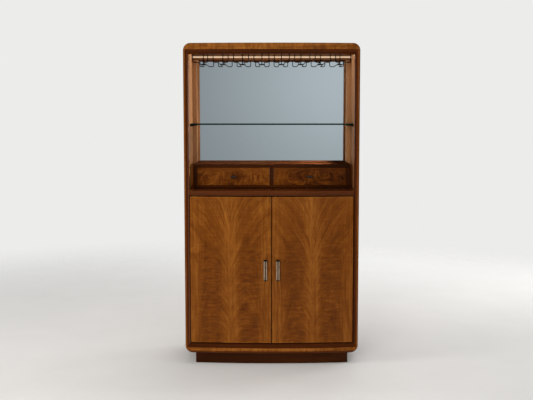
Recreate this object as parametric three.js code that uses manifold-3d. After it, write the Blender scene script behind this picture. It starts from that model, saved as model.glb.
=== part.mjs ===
// Bow-fronted bar armoire: an open display bay over a cupboard with two doors.
// Millimetres, +Z up, the front faces -Y. The origin is under the middle of the whole
// piece, on the floor. Lengths and places below are measured from the front plane of
// the case sides until the last group moves everything to the origin.
import * as THREE from 'three';
import { mergeVertices } from 'three/addons/utils/BufferGeometryUtils.js';
import Module from 'manifold-3d';

const wasm = await Module();
wasm.setup();

// Outer case
const caseWidth = 1118;
const caseHeight = 2063;
const caseDepth = 473;
const bowRise = 32;
const cornerRadius = 46;
const sideThickness = 18;
const topThickness = 40;
const bottomThickness = 35;
const edgeRounding = 9;
const innerEdgeRounding = 3;

// Plinth
const plinthHeight = 75;
const plinthSideInset = 65;
const plinthFrontInset = 40;
const plinthBackInset = 40;
const plinthThickness = 19;

// Dark frame with a hollow moulding round the whole front
const stileWidth = 20;
const railHeight = 30;
const stileInset = 12;
const frameRecess = 3;
const frameDepth = 24;
const coveDepth = 5;

// Ledge that parts the bay from the cupboard
const ledgeTop = 1129;
const ledgeThickness = 31;
const ledgeRecess = 2;
const ledgeNoseRounding = 7;

// Back of the case
const backInset = 16;
const backThickness = 12;
const mirrorThickness = 5;
const mirrorStileWidth = 28;
const mirrorStileProud = 2;
const lightRailHeight = 42;
const lightRailProud = 12;
const diffuserHeight = 19;
const diffuserThickness = 6;
const diffuserDrop = 10;

// Glass shelf on four pins
const glassThickness = 10;
const glassHeight = 1544;
const glassFrontInset = 220;
const glassSideClearance = 0.7;
const shelfPinRadius = 4;
const shelfPinLength = 32;
const shelfPinCollarRadius = 8;
const shelfPinCollarLength = 3;
const shelfPinEndInset = 14;

// Stemware rack of bent wire
const channelCount = 8;
const channelGap = 34.7;
const rackSideGap = 26.65;
const slotHalfWidth = 18;
const wireRadius = 2.5;
const wireBendRadius = 9;
const rackDrop = 73;
const rackFrontInset = 155;
const rackBackGap = 12;
const slotRoundShare = 0.98;
const wireFootRadius = 7;
const wireFootThickness = 2;

// Drawer unit that stands on the ledge
const unitHeight = 155;
const unitSideGap = 22;
const unitFrontInset = 220;
const unitBottomThickness = 15;
const unitTopThickness = 21;
const unitSideThickness = 25;
const unitDividerThickness = 24;

// Drawers
const drawerFrontThickness = 18;
const drawerFrontGap = 1.5;
const drawerSideClearance = 1;
const drawerBoxHeight = 98;
const drawerBoxThickness = 10;
const drawerBackGap = 8;
const drawerBottomThickness = 6;
const drawerBottomLift = 8;
const knobWidth = 40;
const knobHeight = 18;
const knobThickness = 9;
const knobNeckRadius = 5;
const knobNeckLength = 11;

// Doors
const doorThickness = 20;
const doorRecess = 4;
const doorSideGap = 4;
const doorMeetingGap = 4;
const doorEndGap = 5;
const pullLength = 134;
const pullWidth = 24;
const pullProjection = 28;
const pullBarThickness = 9;
const pullPostLength = 15;
const pullEdgeDistance = 38;
const pullBottomHeight = 555;
const pullRounding = 4;

// Pivot hinges
const pivotInset = 12;
const leafThickness = 3;
const leafWidth = 13;
const leafLength = 60;
const pinRadius = 3;
const pinClearance = 0.35;
const pinDepth = 10;
const collarRadius = 5;

// Inside the cupboard
const innerShelfHeight = 620;
const innerShelfThickness = 19;
const innerShelfFrontInset = 62;
const catchLength = 90;
const catchHeight = 14;
const catchDepth = 14;
const catchDoorGap = 1;

// Gaps and counts
const seatGap = 0.3;
const cutOverrun = 60;
const sweepOverrun = 120;
const mergeTolerance = 0.003;
const bowSteps = 24;
const coveSteps = 8;
const roundSteps = 5;
const wireSides = 6;
const wireBendSteps = 4;
const pinSides = 16;

// Derived places
const halfWidth = caseWidth / 2;
const bowRadius = (halfWidth ** 2 + bowRise ** 2) / (2 * bowRise);
const bowCentreY = bowRadius - bowRise;
const interiorHalf = halfWidth - sideThickness;
const frameOuterHalf = halfWidth - stileInset;
const openingHalf = frameOuterHalf - stileWidth;
const caseFloor = plinthHeight + bottomThickness;
const caseCeiling = caseHeight - topThickness;
const frameBackDepth = frameRecess + frameDepth;
const frameBackY = bowY(frameOuterHalf, frameBackDepth);
const backPanelY = caseDepth - backInset - backThickness;
const mirrorY = backPanelY - mirrorThickness;
const mirrorHalf = interiorHalf - mirrorStileWidth;
const mirrorTop = caseCeiling - lightRailHeight;
const lightRailY = mirrorY - lightRailProud;
const ledgeBottom = ledgeTop - ledgeThickness;
const unitHalf = interiorHalf - unitSideGap;
const unitTop = ledgeTop + unitHeight;
const unitBackY = mirrorY - mirrorStileProud - seatGap;
const unitFloor = ledgeTop + unitBottomThickness;
const unitCeiling = unitTop - unitTopThickness;
const doorBottom = caseFloor + railHeight + doorEndGap;
const doorTop = ledgeBottom - doorEndGap;
const doorOuterHalf = openingHalf - doorSideGap;
const doorInnerHalf = doorMeetingGap / 2;
const doorBackDepth = doorRecess + doorThickness;
const pivotX = doorOuterHalf - pivotInset;
const pivotY = bowY(pivotX, doorRecess + doorThickness / 2);
const pivotTurn = Math.asin(pivotX / bowRadius);
const pullX = doorInnerHalf + pullEdgeDistance;
const pullBackY = bowY(pullX - pullWidth / 2, doorRecess) - seatGap;
const pullFrontY = pullBackY - pullProjection;
const originY = (Math.min(pullFrontY, -bowRise) + caseDepth) / 2;

const finishes = {
  caseVeneer: { color: 0x8a5226, roughness: 0.38, metalness: 0 },
  doorVeneer: { color: 0x77451c, roughness: 0.36, metalness: 0 },
  darkWood: { color: 0x48200f, roughness: 0.32, metalness: 0 },
  insideWood: { color: 0x8c6040, roughness: 0.5, metalness: 0 },
  mirrorGlass: { color: 0xa4b0b4, roughness: 0.04, metalness: 1 },
  shelfGlass: { color: 0x7fa79a, roughness: 0.05, metalness: 0 },
  diffuser: { color: 0xffe4bd, roughness: 0.5, metalness: 0 },
  bronzeWire: { color: 0x2c2824, roughness: 0.35, metalness: 0.9 },
  pewter: { color: 0x8d8272, roughness: 0.32, metalness: 0.9 },
  brass: { color: 0xa58a4e, roughness: 0.4, metalness: 0.9 },
};

// Places on the bow

function bowY(x, depth) {
  return bowCentreY - Math.sqrt((bowRadius - depth) ** 2 - x ** 2);
}

function bowAngle(x, depth) {
  return -Math.acos(x / (bowRadius - depth));
}

// The line of the bow seen from above, at depth 0, run past both sides of the case.
class BowCurve extends THREE.Curve {
  getPoint(share) {
    const reach = Math.asin((halfWidth + sweepOverrun) / bowRadius);
    const angle = (2 * share - 1) * reach;
    return new THREE.Vector3(
      bowRadius * Math.sin(angle),
      bowCentreY - bowRadius * Math.cos(angle),
      0,
    );
  }
}

// A route through given stations, with one step of the sweep at each.
class StationCurve extends THREE.Curve {
  constructor(stations) {
    super();
    this.stations = stations;
  }

  getPoint(share) {
    const place = share * (this.stations.length - 1);
    const first = Math.min(Math.floor(place), this.stations.length - 2);
    return this.stations[first].clone().lerp(this.stations[first + 1], place - first);
  }

  getPointAt(share) {
    return this.getPoint(share);
  }

  getTangentAt(share) {
    const last = this.stations.length - 1;
    const here = Math.round(share * last);
    const before = this.stations[Math.max(here - 1, 0)];
    const after = this.stations[Math.min(here + 1, last)];
    return after.clone().sub(before).normalize();
  }
}

// Solids

function solid(geometry) {
  const bare = geometry.clone();
  bare.deleteAttribute('normal');
  bare.deleteAttribute('uv');
  const joined = mergeVertices(bare, mergeTolerance);
  return new wasm.Manifold(new wasm.Mesh({
    numProp: 3,
    vertProperties: new Float32Array(joined.attributes.position.array),
    triVerts: new Uint32Array(joined.index.array),
  }));
}

function geometryOf(manifold) {
  const mesh = manifold.getMesh();
  const geometry = new THREE.BufferGeometry();
  const places = new Float32Array(mesh.vertProperties);
  geometry.setAttribute('position', new THREE.BufferAttribute(places, 3));
  geometry.setIndex(new THREE.BufferAttribute(new Uint32Array(mesh.triVerts), 1));
  geometry.computeVertexNormals();
  return geometry;
}

function block(xLow, xHigh, yLow, yHigh, zLow, zHigh) {
  const geometry = new THREE.BoxGeometry(xHigh - xLow, yHigh - yLow, zHigh - zLow);
  return geometry.translate((xLow + xHigh) / 2, (yLow + yHigh) / 2, (zLow + zHigh) / 2);
}

function extrude(shape, length, curveSegments = roundSteps) {
  return new THREE.ExtrudeGeometry(shape, {
    depth: length, bevelEnabled: false, curveSegments,
  });
}

// An outline seen from above, given its height.
function extrudeUp(shape, zLow, zHigh, curveSegments) {
  return extrude(shape, zHigh - zLow, curveSegments).translate(0, 0, zLow);
}

// An outline seen from the front, in x and z, given its run from front to back.
function extrudeBack(shape, yLow, yHigh, curveSegments) {
  const across = new THREE.Vector3(1, 0, 0);
  const up = new THREE.Vector3(0, 0, 1);
  const front = new THREE.Vector3(0, -1, 0);
  const turn = new THREE.Matrix4().makeBasis(across, up, front);
  const geometry = extrude(shape, yHigh - yLow, curveSegments);
  return geometry.applyMatrix4(turn).translate(0, yHigh, 0);
}

// An outline seen from the side, in y and z, given its run from left to right.
function extrudeAcross(shape, xLow, xHigh, curveSegments) {
  const back = new THREE.Vector3(0, 1, 0);
  const up = new THREE.Vector3(0, 0, 1);
  const across = new THREE.Vector3(1, 0, 0);
  const turn = new THREE.Matrix4().makeBasis(back, up, across);
  const geometry = extrude(shape, xHigh - xLow, curveSegments);
  return geometry.applyMatrix4(turn).translate(xLow, 0, 0);
}

// A section drawn as depth behind the bow and height, run along the bow.
function bowSweep(shape) {
  const geometry = new THREE.ExtrudeGeometry(shape, {
    steps: bowSteps, bevelEnabled: false, extrudePath: new BowCurve(),
    curveSegments: roundSteps,
  });
  return solid(geometry);
}

// Outlines

function polygon(points) {
  return new THREE.Shape(points.map(([x, y]) => new THREE.Vector2(x, y)));
}

// A band seen from above between two depths of the bow.
function bowBand(xLeft, xRight, nearDepth, farDepth) {
  const shape = new THREE.Shape();
  shape.absarc(0, bowCentreY, bowRadius - nearDepth,
    bowAngle(xLeft, nearDepth), bowAngle(xRight, nearDepth), false);
  shape.absarc(0, bowCentreY, bowRadius - farDepth,
    bowAngle(xRight, farDepth), bowAngle(xLeft, farDepth), true);
  return shape;
}

// A board seen from above with a bowed front and a straight back.
function bowBoard(xLeft, xRight, nearDepth, backY) {
  const shape = new THREE.Shape();
  shape.absarc(0, bowCentreY, bowRadius - nearDepth,
    bowAngle(xLeft, nearDepth), bowAngle(xRight, nearDepth), false);
  shape.lineTo(xRight, backY);
  shape.lineTo(xLeft, backY);
  return shape;
}

// A board's section behind the bow. The sweep turns the outline a quarter, so heights
// are drawn along -x and depths along y.
function nosedSection(nearDepth, farDepth, zLow, zHigh, lowRounding, highRounding) {
  const shape = new THREE.Shape();
  shape.moveTo(-zLow, farDepth);
  shape.lineTo(-zHigh, farDepth);
  shape.lineTo(-zHigh, nearDepth + highRounding);
  shape.quadraticCurveTo(-zHigh, nearDepth, -zHigh + highRounding, nearDepth);
  shape.lineTo(-zLow - lowRounding, nearDepth);
  shape.quadraticCurveTo(-zLow, nearDepth, -zLow, nearDepth + lowRounding);
  return shape;
}

// The rounded outline of the case seen from the front.
function caseOutline() {
  const shape = new THREE.Shape();
  const low = plinthHeight;
  const high = caseHeight;
  const r = cornerRadius;
  shape.moveTo(-halfWidth + r, low);
  shape.lineTo(halfWidth - r, low);
  shape.absarc(halfWidth - r, low + r, r, -Math.PI / 2, 0, false);
  shape.absarc(halfWidth - r, high - r, r, 0, Math.PI / 2, false);
  shape.absarc(-halfWidth + r, high - r, r, Math.PI / 2, Math.PI, false);
  shape.absarc(-halfWidth + r, low + r, r, Math.PI, 1.5 * Math.PI, false);
  return shape;
}

// Depth of the hollow moulding at a share of the way from its outer to its inner edge.
function coveAt(share) {
  return frameRecess + coveDepth * Math.sin(Math.PI * share);
}

function coveShares() {
  return Array.from({ length: coveSteps + 1 }, (unused, index) => index / coveSteps);
}

// Case

function roundedCase() {
  const low = -bowRise - cutOverrun;
  return solid(extrudeBack(caseOutline(), low, caseDepth, 2 * roundSteps));
}

function topPanel() {
  const section = nosedSection(0, caseDepth + cutOverrun, caseCeiling, caseHeight,
    innerEdgeRounding, edgeRounding);
  return geometryOf(bowSweep(section).intersect(roundedCase()));
}

function bottomPanel() {
  const section = nosedSection(0, caseDepth + cutOverrun, plinthHeight, caseFloor,
    edgeRounding, innerEdgeRounding);
  return geometryOf(bowSweep(section).intersect(roundedCase()));
}

// The panel's front edge is rebated for the frame stile.
function sidePanel(side) {
  const roundStart = halfWidth - edgeRounding;
  const shape = new THREE.Shape();
  shape.moveTo(side * frameOuterHalf, bowY(frameOuterHalf, 0));
  shape.lineTo(side * roundStart, bowY(roundStart, 0));
  shape.quadraticCurveTo(side * halfWidth, 0, side * halfWidth, edgeRounding);
  shape.lineTo(side * halfWidth, caseDepth);
  shape.lineTo(side * interiorHalf, caseDepth);
  shape.lineTo(side * interiorHalf, frameBackY);
  shape.lineTo(side * frameOuterHalf, frameBackY);
  const panel = solid(extrudeUp(shape, caseFloor, caseCeiling));
  return geometryOf(panel.intersect(roundedCase()));
}

function ledge() {
  const half = openingHalf - seatGap;
  const shoulderY = frameBackY + seatGap;
  const shape = new THREE.Shape();
  shape.absarc(0, bowCentreY, bowRadius - ledgeRecess / 2,
    bowAngle(-half, ledgeRecess / 2), bowAngle(half, ledgeRecess / 2), false);
  shape.lineTo(half, shoulderY);
  shape.lineTo(interiorHalf, shoulderY);
  shape.lineTo(interiorHalf, backPanelY);
  shape.lineTo(-interiorHalf, backPanelY);
  shape.lineTo(-interiorHalf, shoulderY);
  shape.lineTo(-half, shoulderY);
  const board = solid(extrudeUp(shape, ledgeBottom, ledgeTop, bowSteps));
  const section = nosedSection(ledgeRecess, caseDepth + cutOverrun, ledgeBottom, ledgeTop,
    ledgeNoseRounding, ledgeNoseRounding);
  return geometryOf(bowSweep(section).intersect(board));
}

function backPanel(zLow, zHigh) {
  return block(-interiorHalf, interiorHalf, backPanelY, backPanelY + backThickness,
    zLow, zHigh);
}

// Frame, mitred at the four corners

function frameStile(side) {
  const front = coveShares().map((share) => {
    const x = frameOuterHalf - stileWidth * share;
    return [side * x, bowY(x, coveAt(share))];
  });
  const shape = polygon([...front,
    [side * openingHalf, frameBackY], [side * frameOuterHalf, frameBackY]]);
  const bar = solid(extrudeUp(shape, caseFloor, caseCeiling));
  const mitre = polygon([
    [side * frameOuterHalf, caseFloor], [side * frameOuterHalf, caseCeiling],
    [side * openingHalf, caseCeiling - railHeight], [side * openingHalf, caseFloor + railHeight],
  ]);
  const keep = solid(extrudeBack(mitre, -bowRise - cutOverrun, frameBackY + cutOverrun));
  return geometryOf(bar.intersect(keep));
}

function frameRail(outerZ, innerZ) {
  const front = coveShares().map((share) => [
    -(outerZ + (innerZ - outerZ) * share), coveAt(share),
  ]);
  const section = polygon([...front, [-innerZ, frameBackDepth], [-outerZ, frameBackDepth]]);
  const outerHalf = frameOuterHalf - seatGap;
  const innerHalf = openingHalf - seatGap;
  const mitre = polygon([
    [-outerHalf, outerZ], [outerHalf, outerZ], [innerHalf, innerZ], [-innerHalf, innerZ],
  ]);
  const keep = solid(extrudeBack(mitre, -bowRise - cutOverrun, frameBackY + cutOverrun));
  return geometryOf(bowSweep(section).intersect(keep));
}

// Plinth

const plinthHalf = halfWidth - plinthSideInset;
const plinthBackY = caseDepth - plinthBackInset;
const plinthInnerDepth = plinthFrontInset + plinthThickness;

function plinthFront() {
  const shape = bowBand(-plinthHalf, plinthHalf, plinthFrontInset, plinthInnerDepth);
  return extrudeUp(shape, 0, plinthHeight, bowSteps);
}

function plinthSide(side) {
  const inner = plinthHalf - plinthThickness;
  const left = Math.min(side * inner, side * plinthHalf);
  const shape = bowBoard(left, left + plinthThickness, plinthInnerDepth + seatGap,
    plinthBackY - plinthThickness);
  return extrudeUp(shape, 0, plinthHeight);
}

function plinthBack() {
  return block(-plinthHalf, plinthHalf, plinthBackY - plinthThickness, plinthBackY,
    0, plinthHeight);
}

// Mirror, its frame and the light

function mirrorStile(side) {
  const inner = side * mirrorHalf;
  const outer = side * interiorHalf;
  return block(Math.min(inner, outer), Math.max(inner, outer),
    mirrorY - mirrorStileProud, backPanelY, ledgeTop, mirrorTop);
}

// The rail has a channel along its front for the strip light.
function lightRail() {
  const channelTop = caseCeiling - diffuserDrop;
  const channelBottom = channelTop - diffuserHeight;
  const shape = polygon([
    [lightRailY, mirrorTop], [backPanelY, mirrorTop], [backPanelY, caseCeiling],
    [lightRailY, caseCeiling], [lightRailY, channelTop],
    [lightRailY + diffuserThickness, channelTop],
    [lightRailY + diffuserThickness, channelBottom], [lightRailY, channelBottom],
  ]);
  return extrudeAcross(shape, -interiorHalf, interiorHalf);
}

function lightDiffuser() {
  const top = caseCeiling - diffuserDrop;
  return block(-interiorHalf, interiorHalf, lightRailY, lightRailY + diffuserThickness,
    top - diffuserHeight, top);
}

// Glass shelf

const glassHalf = interiorHalf - seatGap - shelfPinCollarLength - glassSideClearance;
const glassBackY = mirrorY - mirrorStileProud - glassSideClearance;

function glassShelf() {
  return block(-glassHalf, glassHalf, glassFrontInset, glassBackY,
    glassHeight, glassHeight + glassThickness);
}

function shelfPin(side) {
  const profile = [
    [0, 0], [shelfPinCollarRadius, 0], [shelfPinCollarRadius, shelfPinCollarLength],
    [shelfPinRadius, shelfPinCollarLength], [shelfPinRadius, shelfPinLength],
    [0, shelfPinLength],
  ].map(([radius, along]) => new THREE.Vector2(radius, along));
  return new THREE.LatheGeometry(profile, pinSides).rotateZ(side * Math.PI / 2);
}

// Stemware rack. The channels share the width between the case sides.

const rackHalf = interiorHalf - rackSideGap - wireRadius;
const channelPitch = (2 * rackHalf + channelGap) / channelCount;
const channelHalfWidth = (channelPitch - channelGap) / 2;

// Stations of a route whose corners are rounded; a corner is [x, y, z, radius].
function roundedRoute(corners) {
  const points = corners.map(([x, y, z]) => new THREE.Vector3(x, y, z));
  const stations = [points[0]];
  for (let index = 1; index < corners.length - 1; index += 1) {
    const corner = points[index];
    const radius = corners[index][3];
    const before = points[index - 1].clone().sub(corner).setLength(radius).add(corner);
    const after = points[index + 1].clone().sub(corner).setLength(radius).add(corner);
    const centre = before.clone().add(after).sub(corner);
    for (let step = 0; step <= wireBendSteps; step += 1) {
      const angle = (Math.PI / 2) * (step / wireBendSteps);
      const out = before.clone().sub(centre).multiplyScalar(Math.cos(angle));
      const along = after.clone().sub(centre).multiplyScalar(Math.sin(angle));
      stations.push(centre.clone().add(out).add(along));
    }
  }
  stations.push(points[points.length - 1]);
  return stations;
}

function wireAlong(stations) {
  const section = new THREE.Shape();
  section.absarc(0, 0, wireRadius, 0, 2 * Math.PI, false);
  return solid(new THREE.ExtrudeGeometry(section, {
    steps: stations.length - 1, bevelEnabled: false, curveSegments: wireSides / 2,
    extrudePath: new StationCurve(stations),
  }));
}

function upright(radius, x, y, zLow, zHigh, sides = wireSides) {
  const rod = new THREE.CylinderGeometry(radius, radius, zHigh - zLow, sides);
  return solid(rod.rotateX(Math.PI / 2).translate(x, y, (zLow + zHigh) / 2));
}

// One channel: a wire that drops from the ceiling, turns in to the slot, runs back round
// its closed end and returns, with a hanger at the back and a welded foot on each end.
function stemwareWire(x) {
  const railZ = caseCeiling - rackDrop;
  const topZ = caseCeiling - seatGap;
  const footZ = topZ - wireFootThickness;
  const hangTop = topZ - wireFootThickness / 2;
  const backY = lightRailY - rackBackGap;
  const half = slotHalfWidth;
  const wide = channelHalfWidth;
  const bend = wireBendRadius;
  const roundEnd = half * slotRoundShare;
  const front = rackFrontInset;
  let wire = wireAlong(roundedRoute([
    [x - wide, front, hangTop], [x - wide, front, railZ, bend],
    [x - half, front, railZ, bend], [x - half, backY, railZ, roundEnd],
    [x + half, backY, railZ, roundEnd], [x + half, front, railZ, bend],
    [x + wide, front, railZ, bend], [x + wide, front, hangTop],
  ]));
  wire = wire.add(upright(wireRadius, x, backY, railZ, hangTop, wireSides + 2));
  const feet = [[x - wide, front], [x + wide, front], [x, backY]];
  feet.forEach(([footX, footY]) => {
    wire = wire.add(upright(wireFootRadius, footX, footY, footZ, topZ, 2 * wireSides));
  });
  return geometryOf(wire);
}

// Drawer unit

function unitBoard(zLow, zHigh) {
  return block(-unitHalf, unitHalf, unitFrontInset, unitBackY, zLow, zHigh);
}

function unitSide(side) {
  const inner = side * (unitHalf - unitSideThickness);
  const outer = side * unitHalf;
  return block(Math.min(inner, outer), Math.max(inner, outer), unitFrontInset, unitBackY,
    unitFloor, unitCeiling);
}

function unitDivider() {
  const half = unitDividerThickness / 2;
  return block(-half, half, unitFrontInset, unitBackY, unitFloor, unitCeiling);
}

// Drawers, drawn in the left or right hole of the unit

const holeInner = unitDividerThickness / 2;
const holeOuter = unitHalf - unitSideThickness;
const drawerCentre = (holeInner + holeOuter) / 2;
const drawerBoxFrontY = unitFrontInset + drawerFrontThickness;
const drawerBoxBackY = unitBackY - drawerBackGap;
const drawerBoxHalf = (holeOuter - holeInner) / 2 - drawerSideClearance;
const drawerBoxBottom = unitFloor + seatGap;

function drawerFront(side) {
  const half = (holeOuter - holeInner) / 2 - drawerFrontGap;
  const x = side * drawerCentre;
  return block(x - half, x + half, unitFrontInset, drawerBoxFrontY,
    unitFloor + drawerFrontGap, unitCeiling - drawerFrontGap);
}

function drawerBox(side) {
  const x = side * drawerCentre;
  const outer = drawerBoxHalf;
  const inner = drawerBoxHalf - drawerBoxThickness;
  const innerBackY = drawerBoxBackY - drawerBoxThickness;
  const shape = polygon([
    [x - outer, drawerBoxFrontY], [x - inner, drawerBoxFrontY], [x - inner, innerBackY],
    [x + inner, innerBackY], [x + inner, drawerBoxFrontY], [x + outer, drawerBoxFrontY],
    [x + outer, drawerBoxBackY], [x - outer, drawerBoxBackY],
  ]);
  return extrudeUp(shape, drawerBoxBottom, drawerBoxBottom + drawerBoxHeight);
}

function drawerBottom(side) {
  const x = side * drawerCentre;
  const half = drawerBoxHalf - drawerBoxThickness;
  const low = drawerBoxBottom + drawerBottomLift;
  return block(x - half, x + half, drawerBoxFrontY, drawerBoxBackY - drawerBoxThickness,
    low, low + drawerBottomThickness);
}

// A half-moon knob, flat below, on a round neck.
function drawerKnob(side) {
  const x = side * drawerCentre;
  const z = (unitFloor + unitCeiling) / 2;
  const low = z - knobHeight / 2;
  const backY = unitFrontInset - seatGap;
  const shape = new THREE.Shape();
  shape.moveTo(x - knobWidth / 2, low);
  shape.lineTo(x + knobWidth / 2, low);
  shape.absellipse(x, low, knobWidth / 2, knobHeight, 0, Math.PI, false, 0);
  const face = solid(extrudeBack(shape, backY - knobNeckLength - knobThickness,
    backY - knobNeckLength, 2 * roundSteps));
  const neckLength = knobNeckLength + knobThickness / 2;
  const neck = new THREE.CylinderGeometry(knobNeckRadius, knobNeckRadius, neckLength,
    pinSides).translate(x, backY - neckLength / 2, low + knobHeight / 2);
  return geometryOf(face.add(solid(neck)));
}

// Doors

// The flat of a hinge leaf seen from above, with a round end about the pivot.
function leafOutline(side, grow) {
  const radius = leafWidth / 2 + grow;
  const far = -side * (leafLength - leafWidth);
  const low = Math.min(0, far);
  const high = Math.max(0, far);
  const shape = new THREE.Shape();
  shape.absarc(high, 0, radius, -Math.PI / 2, Math.PI / 2, false);
  shape.absarc(low, 0, radius, Math.PI / 2, 1.5 * Math.PI, false);
  return shape;
}

// Turns a solid drawn about the pivot to the slope of the bow and puts it there.
function atPivot(geometry, side) {
  return geometry.rotateZ(side * pivotTurn).translate(side * pivotX, pivotY, 0);
}

function pinHole(side, zLow, zHigh) {
  return upright(pinRadius + pinClearance, side * pivotX, pivotY, zLow, zHigh,
    2 * pinSides);
}

// The leaves are let into the door's top and bottom edges.
function door(side) {
  const left = Math.min(side * doorInnerHalf, side * doorOuterHalf);
  const width = doorOuterHalf - doorInnerHalf;
  const shape = bowBand(left, left + width, doorRecess, doorBackDepth);
  let panel = solid(extrudeUp(shape, doorBottom, doorTop, bowSteps / 2));
  const pocketDepth = leafThickness + seatGap;
  const pocket = leafOutline(side, seatGap);
  const topCut = extrudeUp(pocket, doorTop - pocketDepth, doorTop + pocketDepth);
  const bottomCut = extrudeUp(pocket, doorBottom - pocketDepth, doorBottom + pocketDepth);
  panel = panel.subtract(solid(atPivot(topCut, side)));
  panel = panel.subtract(solid(atPivot(bottomCut, side)));
  const holeDepth = pinDepth + leafThickness;
  panel = panel.subtract(pinHole(side, doorTop - holeDepth, doorTop + leafThickness));
  panel = panel.subtract(pinHole(side, doorBottom - leafThickness, doorBottom + holeDepth));
  return geometryOf(panel);
}

function doorPull(side) {
  const low = pullBottomHeight;
  const high = pullBottomHeight + pullLength;
  const barBackY = pullFrontY + pullBarThickness;
  const r = pullRounding;
  const shape = new THREE.Shape();
  shape.moveTo(pullBackY, low);
  shape.lineTo(pullBackY, low + pullPostLength);
  shape.lineTo(barBackY + r, low + pullPostLength);
  shape.quadraticCurveTo(barBackY, low + pullPostLength, barBackY, low + pullPostLength + r);
  shape.lineTo(barBackY, high - pullPostLength - r);
  shape.quadraticCurveTo(barBackY, high - pullPostLength, barBackY + r, high - pullPostLength);
  shape.lineTo(pullBackY, high - pullPostLength);
  shape.lineTo(pullBackY, high);
  shape.lineTo(pullFrontY + r, high);
  shape.quadraticCurveTo(pullFrontY, high, pullFrontY, high - r);
  shape.lineTo(pullFrontY, low + r);
  shape.quadraticCurveTo(pullFrontY, low, pullFrontY + r, low);
  const centre = side * pullX;
  return extrudeAcross(shape, centre - pullWidth / 2, centre + pullWidth / 2);
}

// Pivot hinges: a leaf with a pin on the case, and a leaf with a hole in the door.
// facing is 1 where the pin points up into the door and -1 where it points down.

function caseLeaf(side, seatZ, facing) {
  const span = [seatZ + facing * seatGap / 2, seatZ + facing * leafThickness];
  const plateLow = Math.min(...span);
  const plate = extrudeUp(leafOutline(side, 0), plateLow, Math.max(...span));
  const plateFace = seatZ + facing * leafThickness;
  const collarEnd = seatZ + facing * (doorEndGap - seatGap);
  const pinEnd = seatZ + facing * (doorEndGap + pinDepth);
  const start = plateFace - facing * leafThickness / 2;
  const pin = upright(pinRadius, side * pivotX, pivotY, Math.min(start, pinEnd),
    Math.max(start, pinEnd), pinSides);
  const collar = upright(collarRadius, side * pivotX, pivotY, Math.min(start, collarEnd),
    Math.max(start, collarEnd), pinSides);
  return geometryOf(solid(atPivot(plate, side)).add(collar).add(pin));
}

function doorLeaf(side, doorEdgeZ, facing) {
  const inner = doorEdgeZ + facing * leafThickness;
  const low = Math.min(doorEdgeZ, inner);
  const high = Math.max(doorEdgeZ, inner);
  const plate = solid(atPivot(extrudeUp(leafOutline(side, 0), low, high), side));
  return geometryOf(plate.subtract(pinHole(side, low - leafThickness, high + leafThickness)));
}

// Inside the cupboard

function innerShelf() {
  return block(-interiorHalf, interiorHalf, innerShelfFrontInset, backPanelY,
    innerShelfHeight, innerShelfHeight + innerShelfThickness);
}

function doorCatch() {
  const frontY = bowY(catchLength / 2, doorBackDepth) + catchDoorGap;
  return block(-catchLength / 2, catchLength / 2, frontY, frontY + catchDepth,
    ledgeBottom - catchHeight, ledgeBottom);
}

// Assembly

const sides = [['left', -1], ['right', 1]];
const armoire = new THREE.Group();

function place(name, geometry, finish) {
  const mesh = new THREE.Mesh(geometry, new THREE.MeshStandardMaterial(finish));
  mesh.name = name;
  armoire.add(mesh);
  return mesh;
}

function addCase() {
  place('top_panel', topPanel(), finishes.caseVeneer);
  place('bottom_panel', bottomPanel(), finishes.caseVeneer);
  place('ledge', ledge(), finishes.darkWood);
  place('frame_rail_top', frameRail(caseCeiling, caseCeiling - railHeight), finishes.darkWood);
  place('frame_rail_bottom', frameRail(caseFloor, caseFloor + railHeight), finishes.darkWood);
  place('plinth_front', plinthFront(), finishes.darkWood);
  place('plinth_back', plinthBack(), finishes.darkWood);
  place('back_panel_lower', backPanel(caseFloor, ledgeBottom), finishes.insideWood);
  place('back_panel_upper', backPanel(ledgeTop, caseCeiling), finishes.insideWood);
  place('inner_shelf', innerShelf(), finishes.insideWood);
  place('door_catch', doorCatch(), finishes.bronzeWire);
  sides.forEach(([name, side]) => {
    place(`side_panel_${name}`, sidePanel(side), finishes.caseVeneer);
    place(`frame_stile_${name}`, frameStile(side), finishes.darkWood);
    place(`plinth_side_${name}`, plinthSide(side), finishes.darkWood);
  });
}

function addBay() {
  place('mirror', block(-mirrorHalf, mirrorHalf, mirrorY, backPanelY, ledgeTop, mirrorTop),
    finishes.mirrorGlass);
  place('light_rail', lightRail(), finishes.caseVeneer);
  place('light_diffuser', lightDiffuser(), finishes.diffuser);
  place('glass_shelf', glassShelf(), finishes.shelfGlass);
  const pinPlaces = [['front', glassFrontInset + shelfPinEndInset],
    ['back', glassBackY - shelfPinEndInset]];
  sides.forEach(([name, side]) => {
    place(`mirror_stile_${name}`, mirrorStile(side), finishes.caseVeneer);
    pinPlaces.forEach(([end, y]) => {
      const pin = place(`shelf_pin_${end}_${name}`, shelfPin(side), finishes.bronzeWire);
      const z = glassHeight - seatGap - shelfPinRadius;
      pin.position.set(side * (interiorHalf - seatGap), y, z);
    });
  });
  for (let index = 0; index < channelCount; index += 1) {
    const x = (index - (channelCount - 1) / 2) * channelPitch;
    place(`stemware_wire_${index + 1}`, stemwareWire(x), finishes.bronzeWire);
  }
}

function addDrawers() {
  place('unit_top', unitBoard(unitCeiling, unitTop), finishes.darkWood);
  place('unit_bottom', unitBoard(ledgeTop, unitFloor), finishes.darkWood);
  place('unit_divider', unitDivider(), finishes.darkWood);
  sides.forEach(([name, side]) => {
    place(`unit_side_${name}`, unitSide(side), finishes.darkWood);
    place(`drawer_front_${name}`, drawerFront(side), finishes.doorVeneer);
    place(`drawer_box_${name}`, drawerBox(side), finishes.insideWood);
    place(`drawer_bottom_${name}`, drawerBottom(side), finishes.insideWood);
    place(`drawer_knob_${name}`, drawerKnob(side), finishes.bronzeWire);
  });
}

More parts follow.
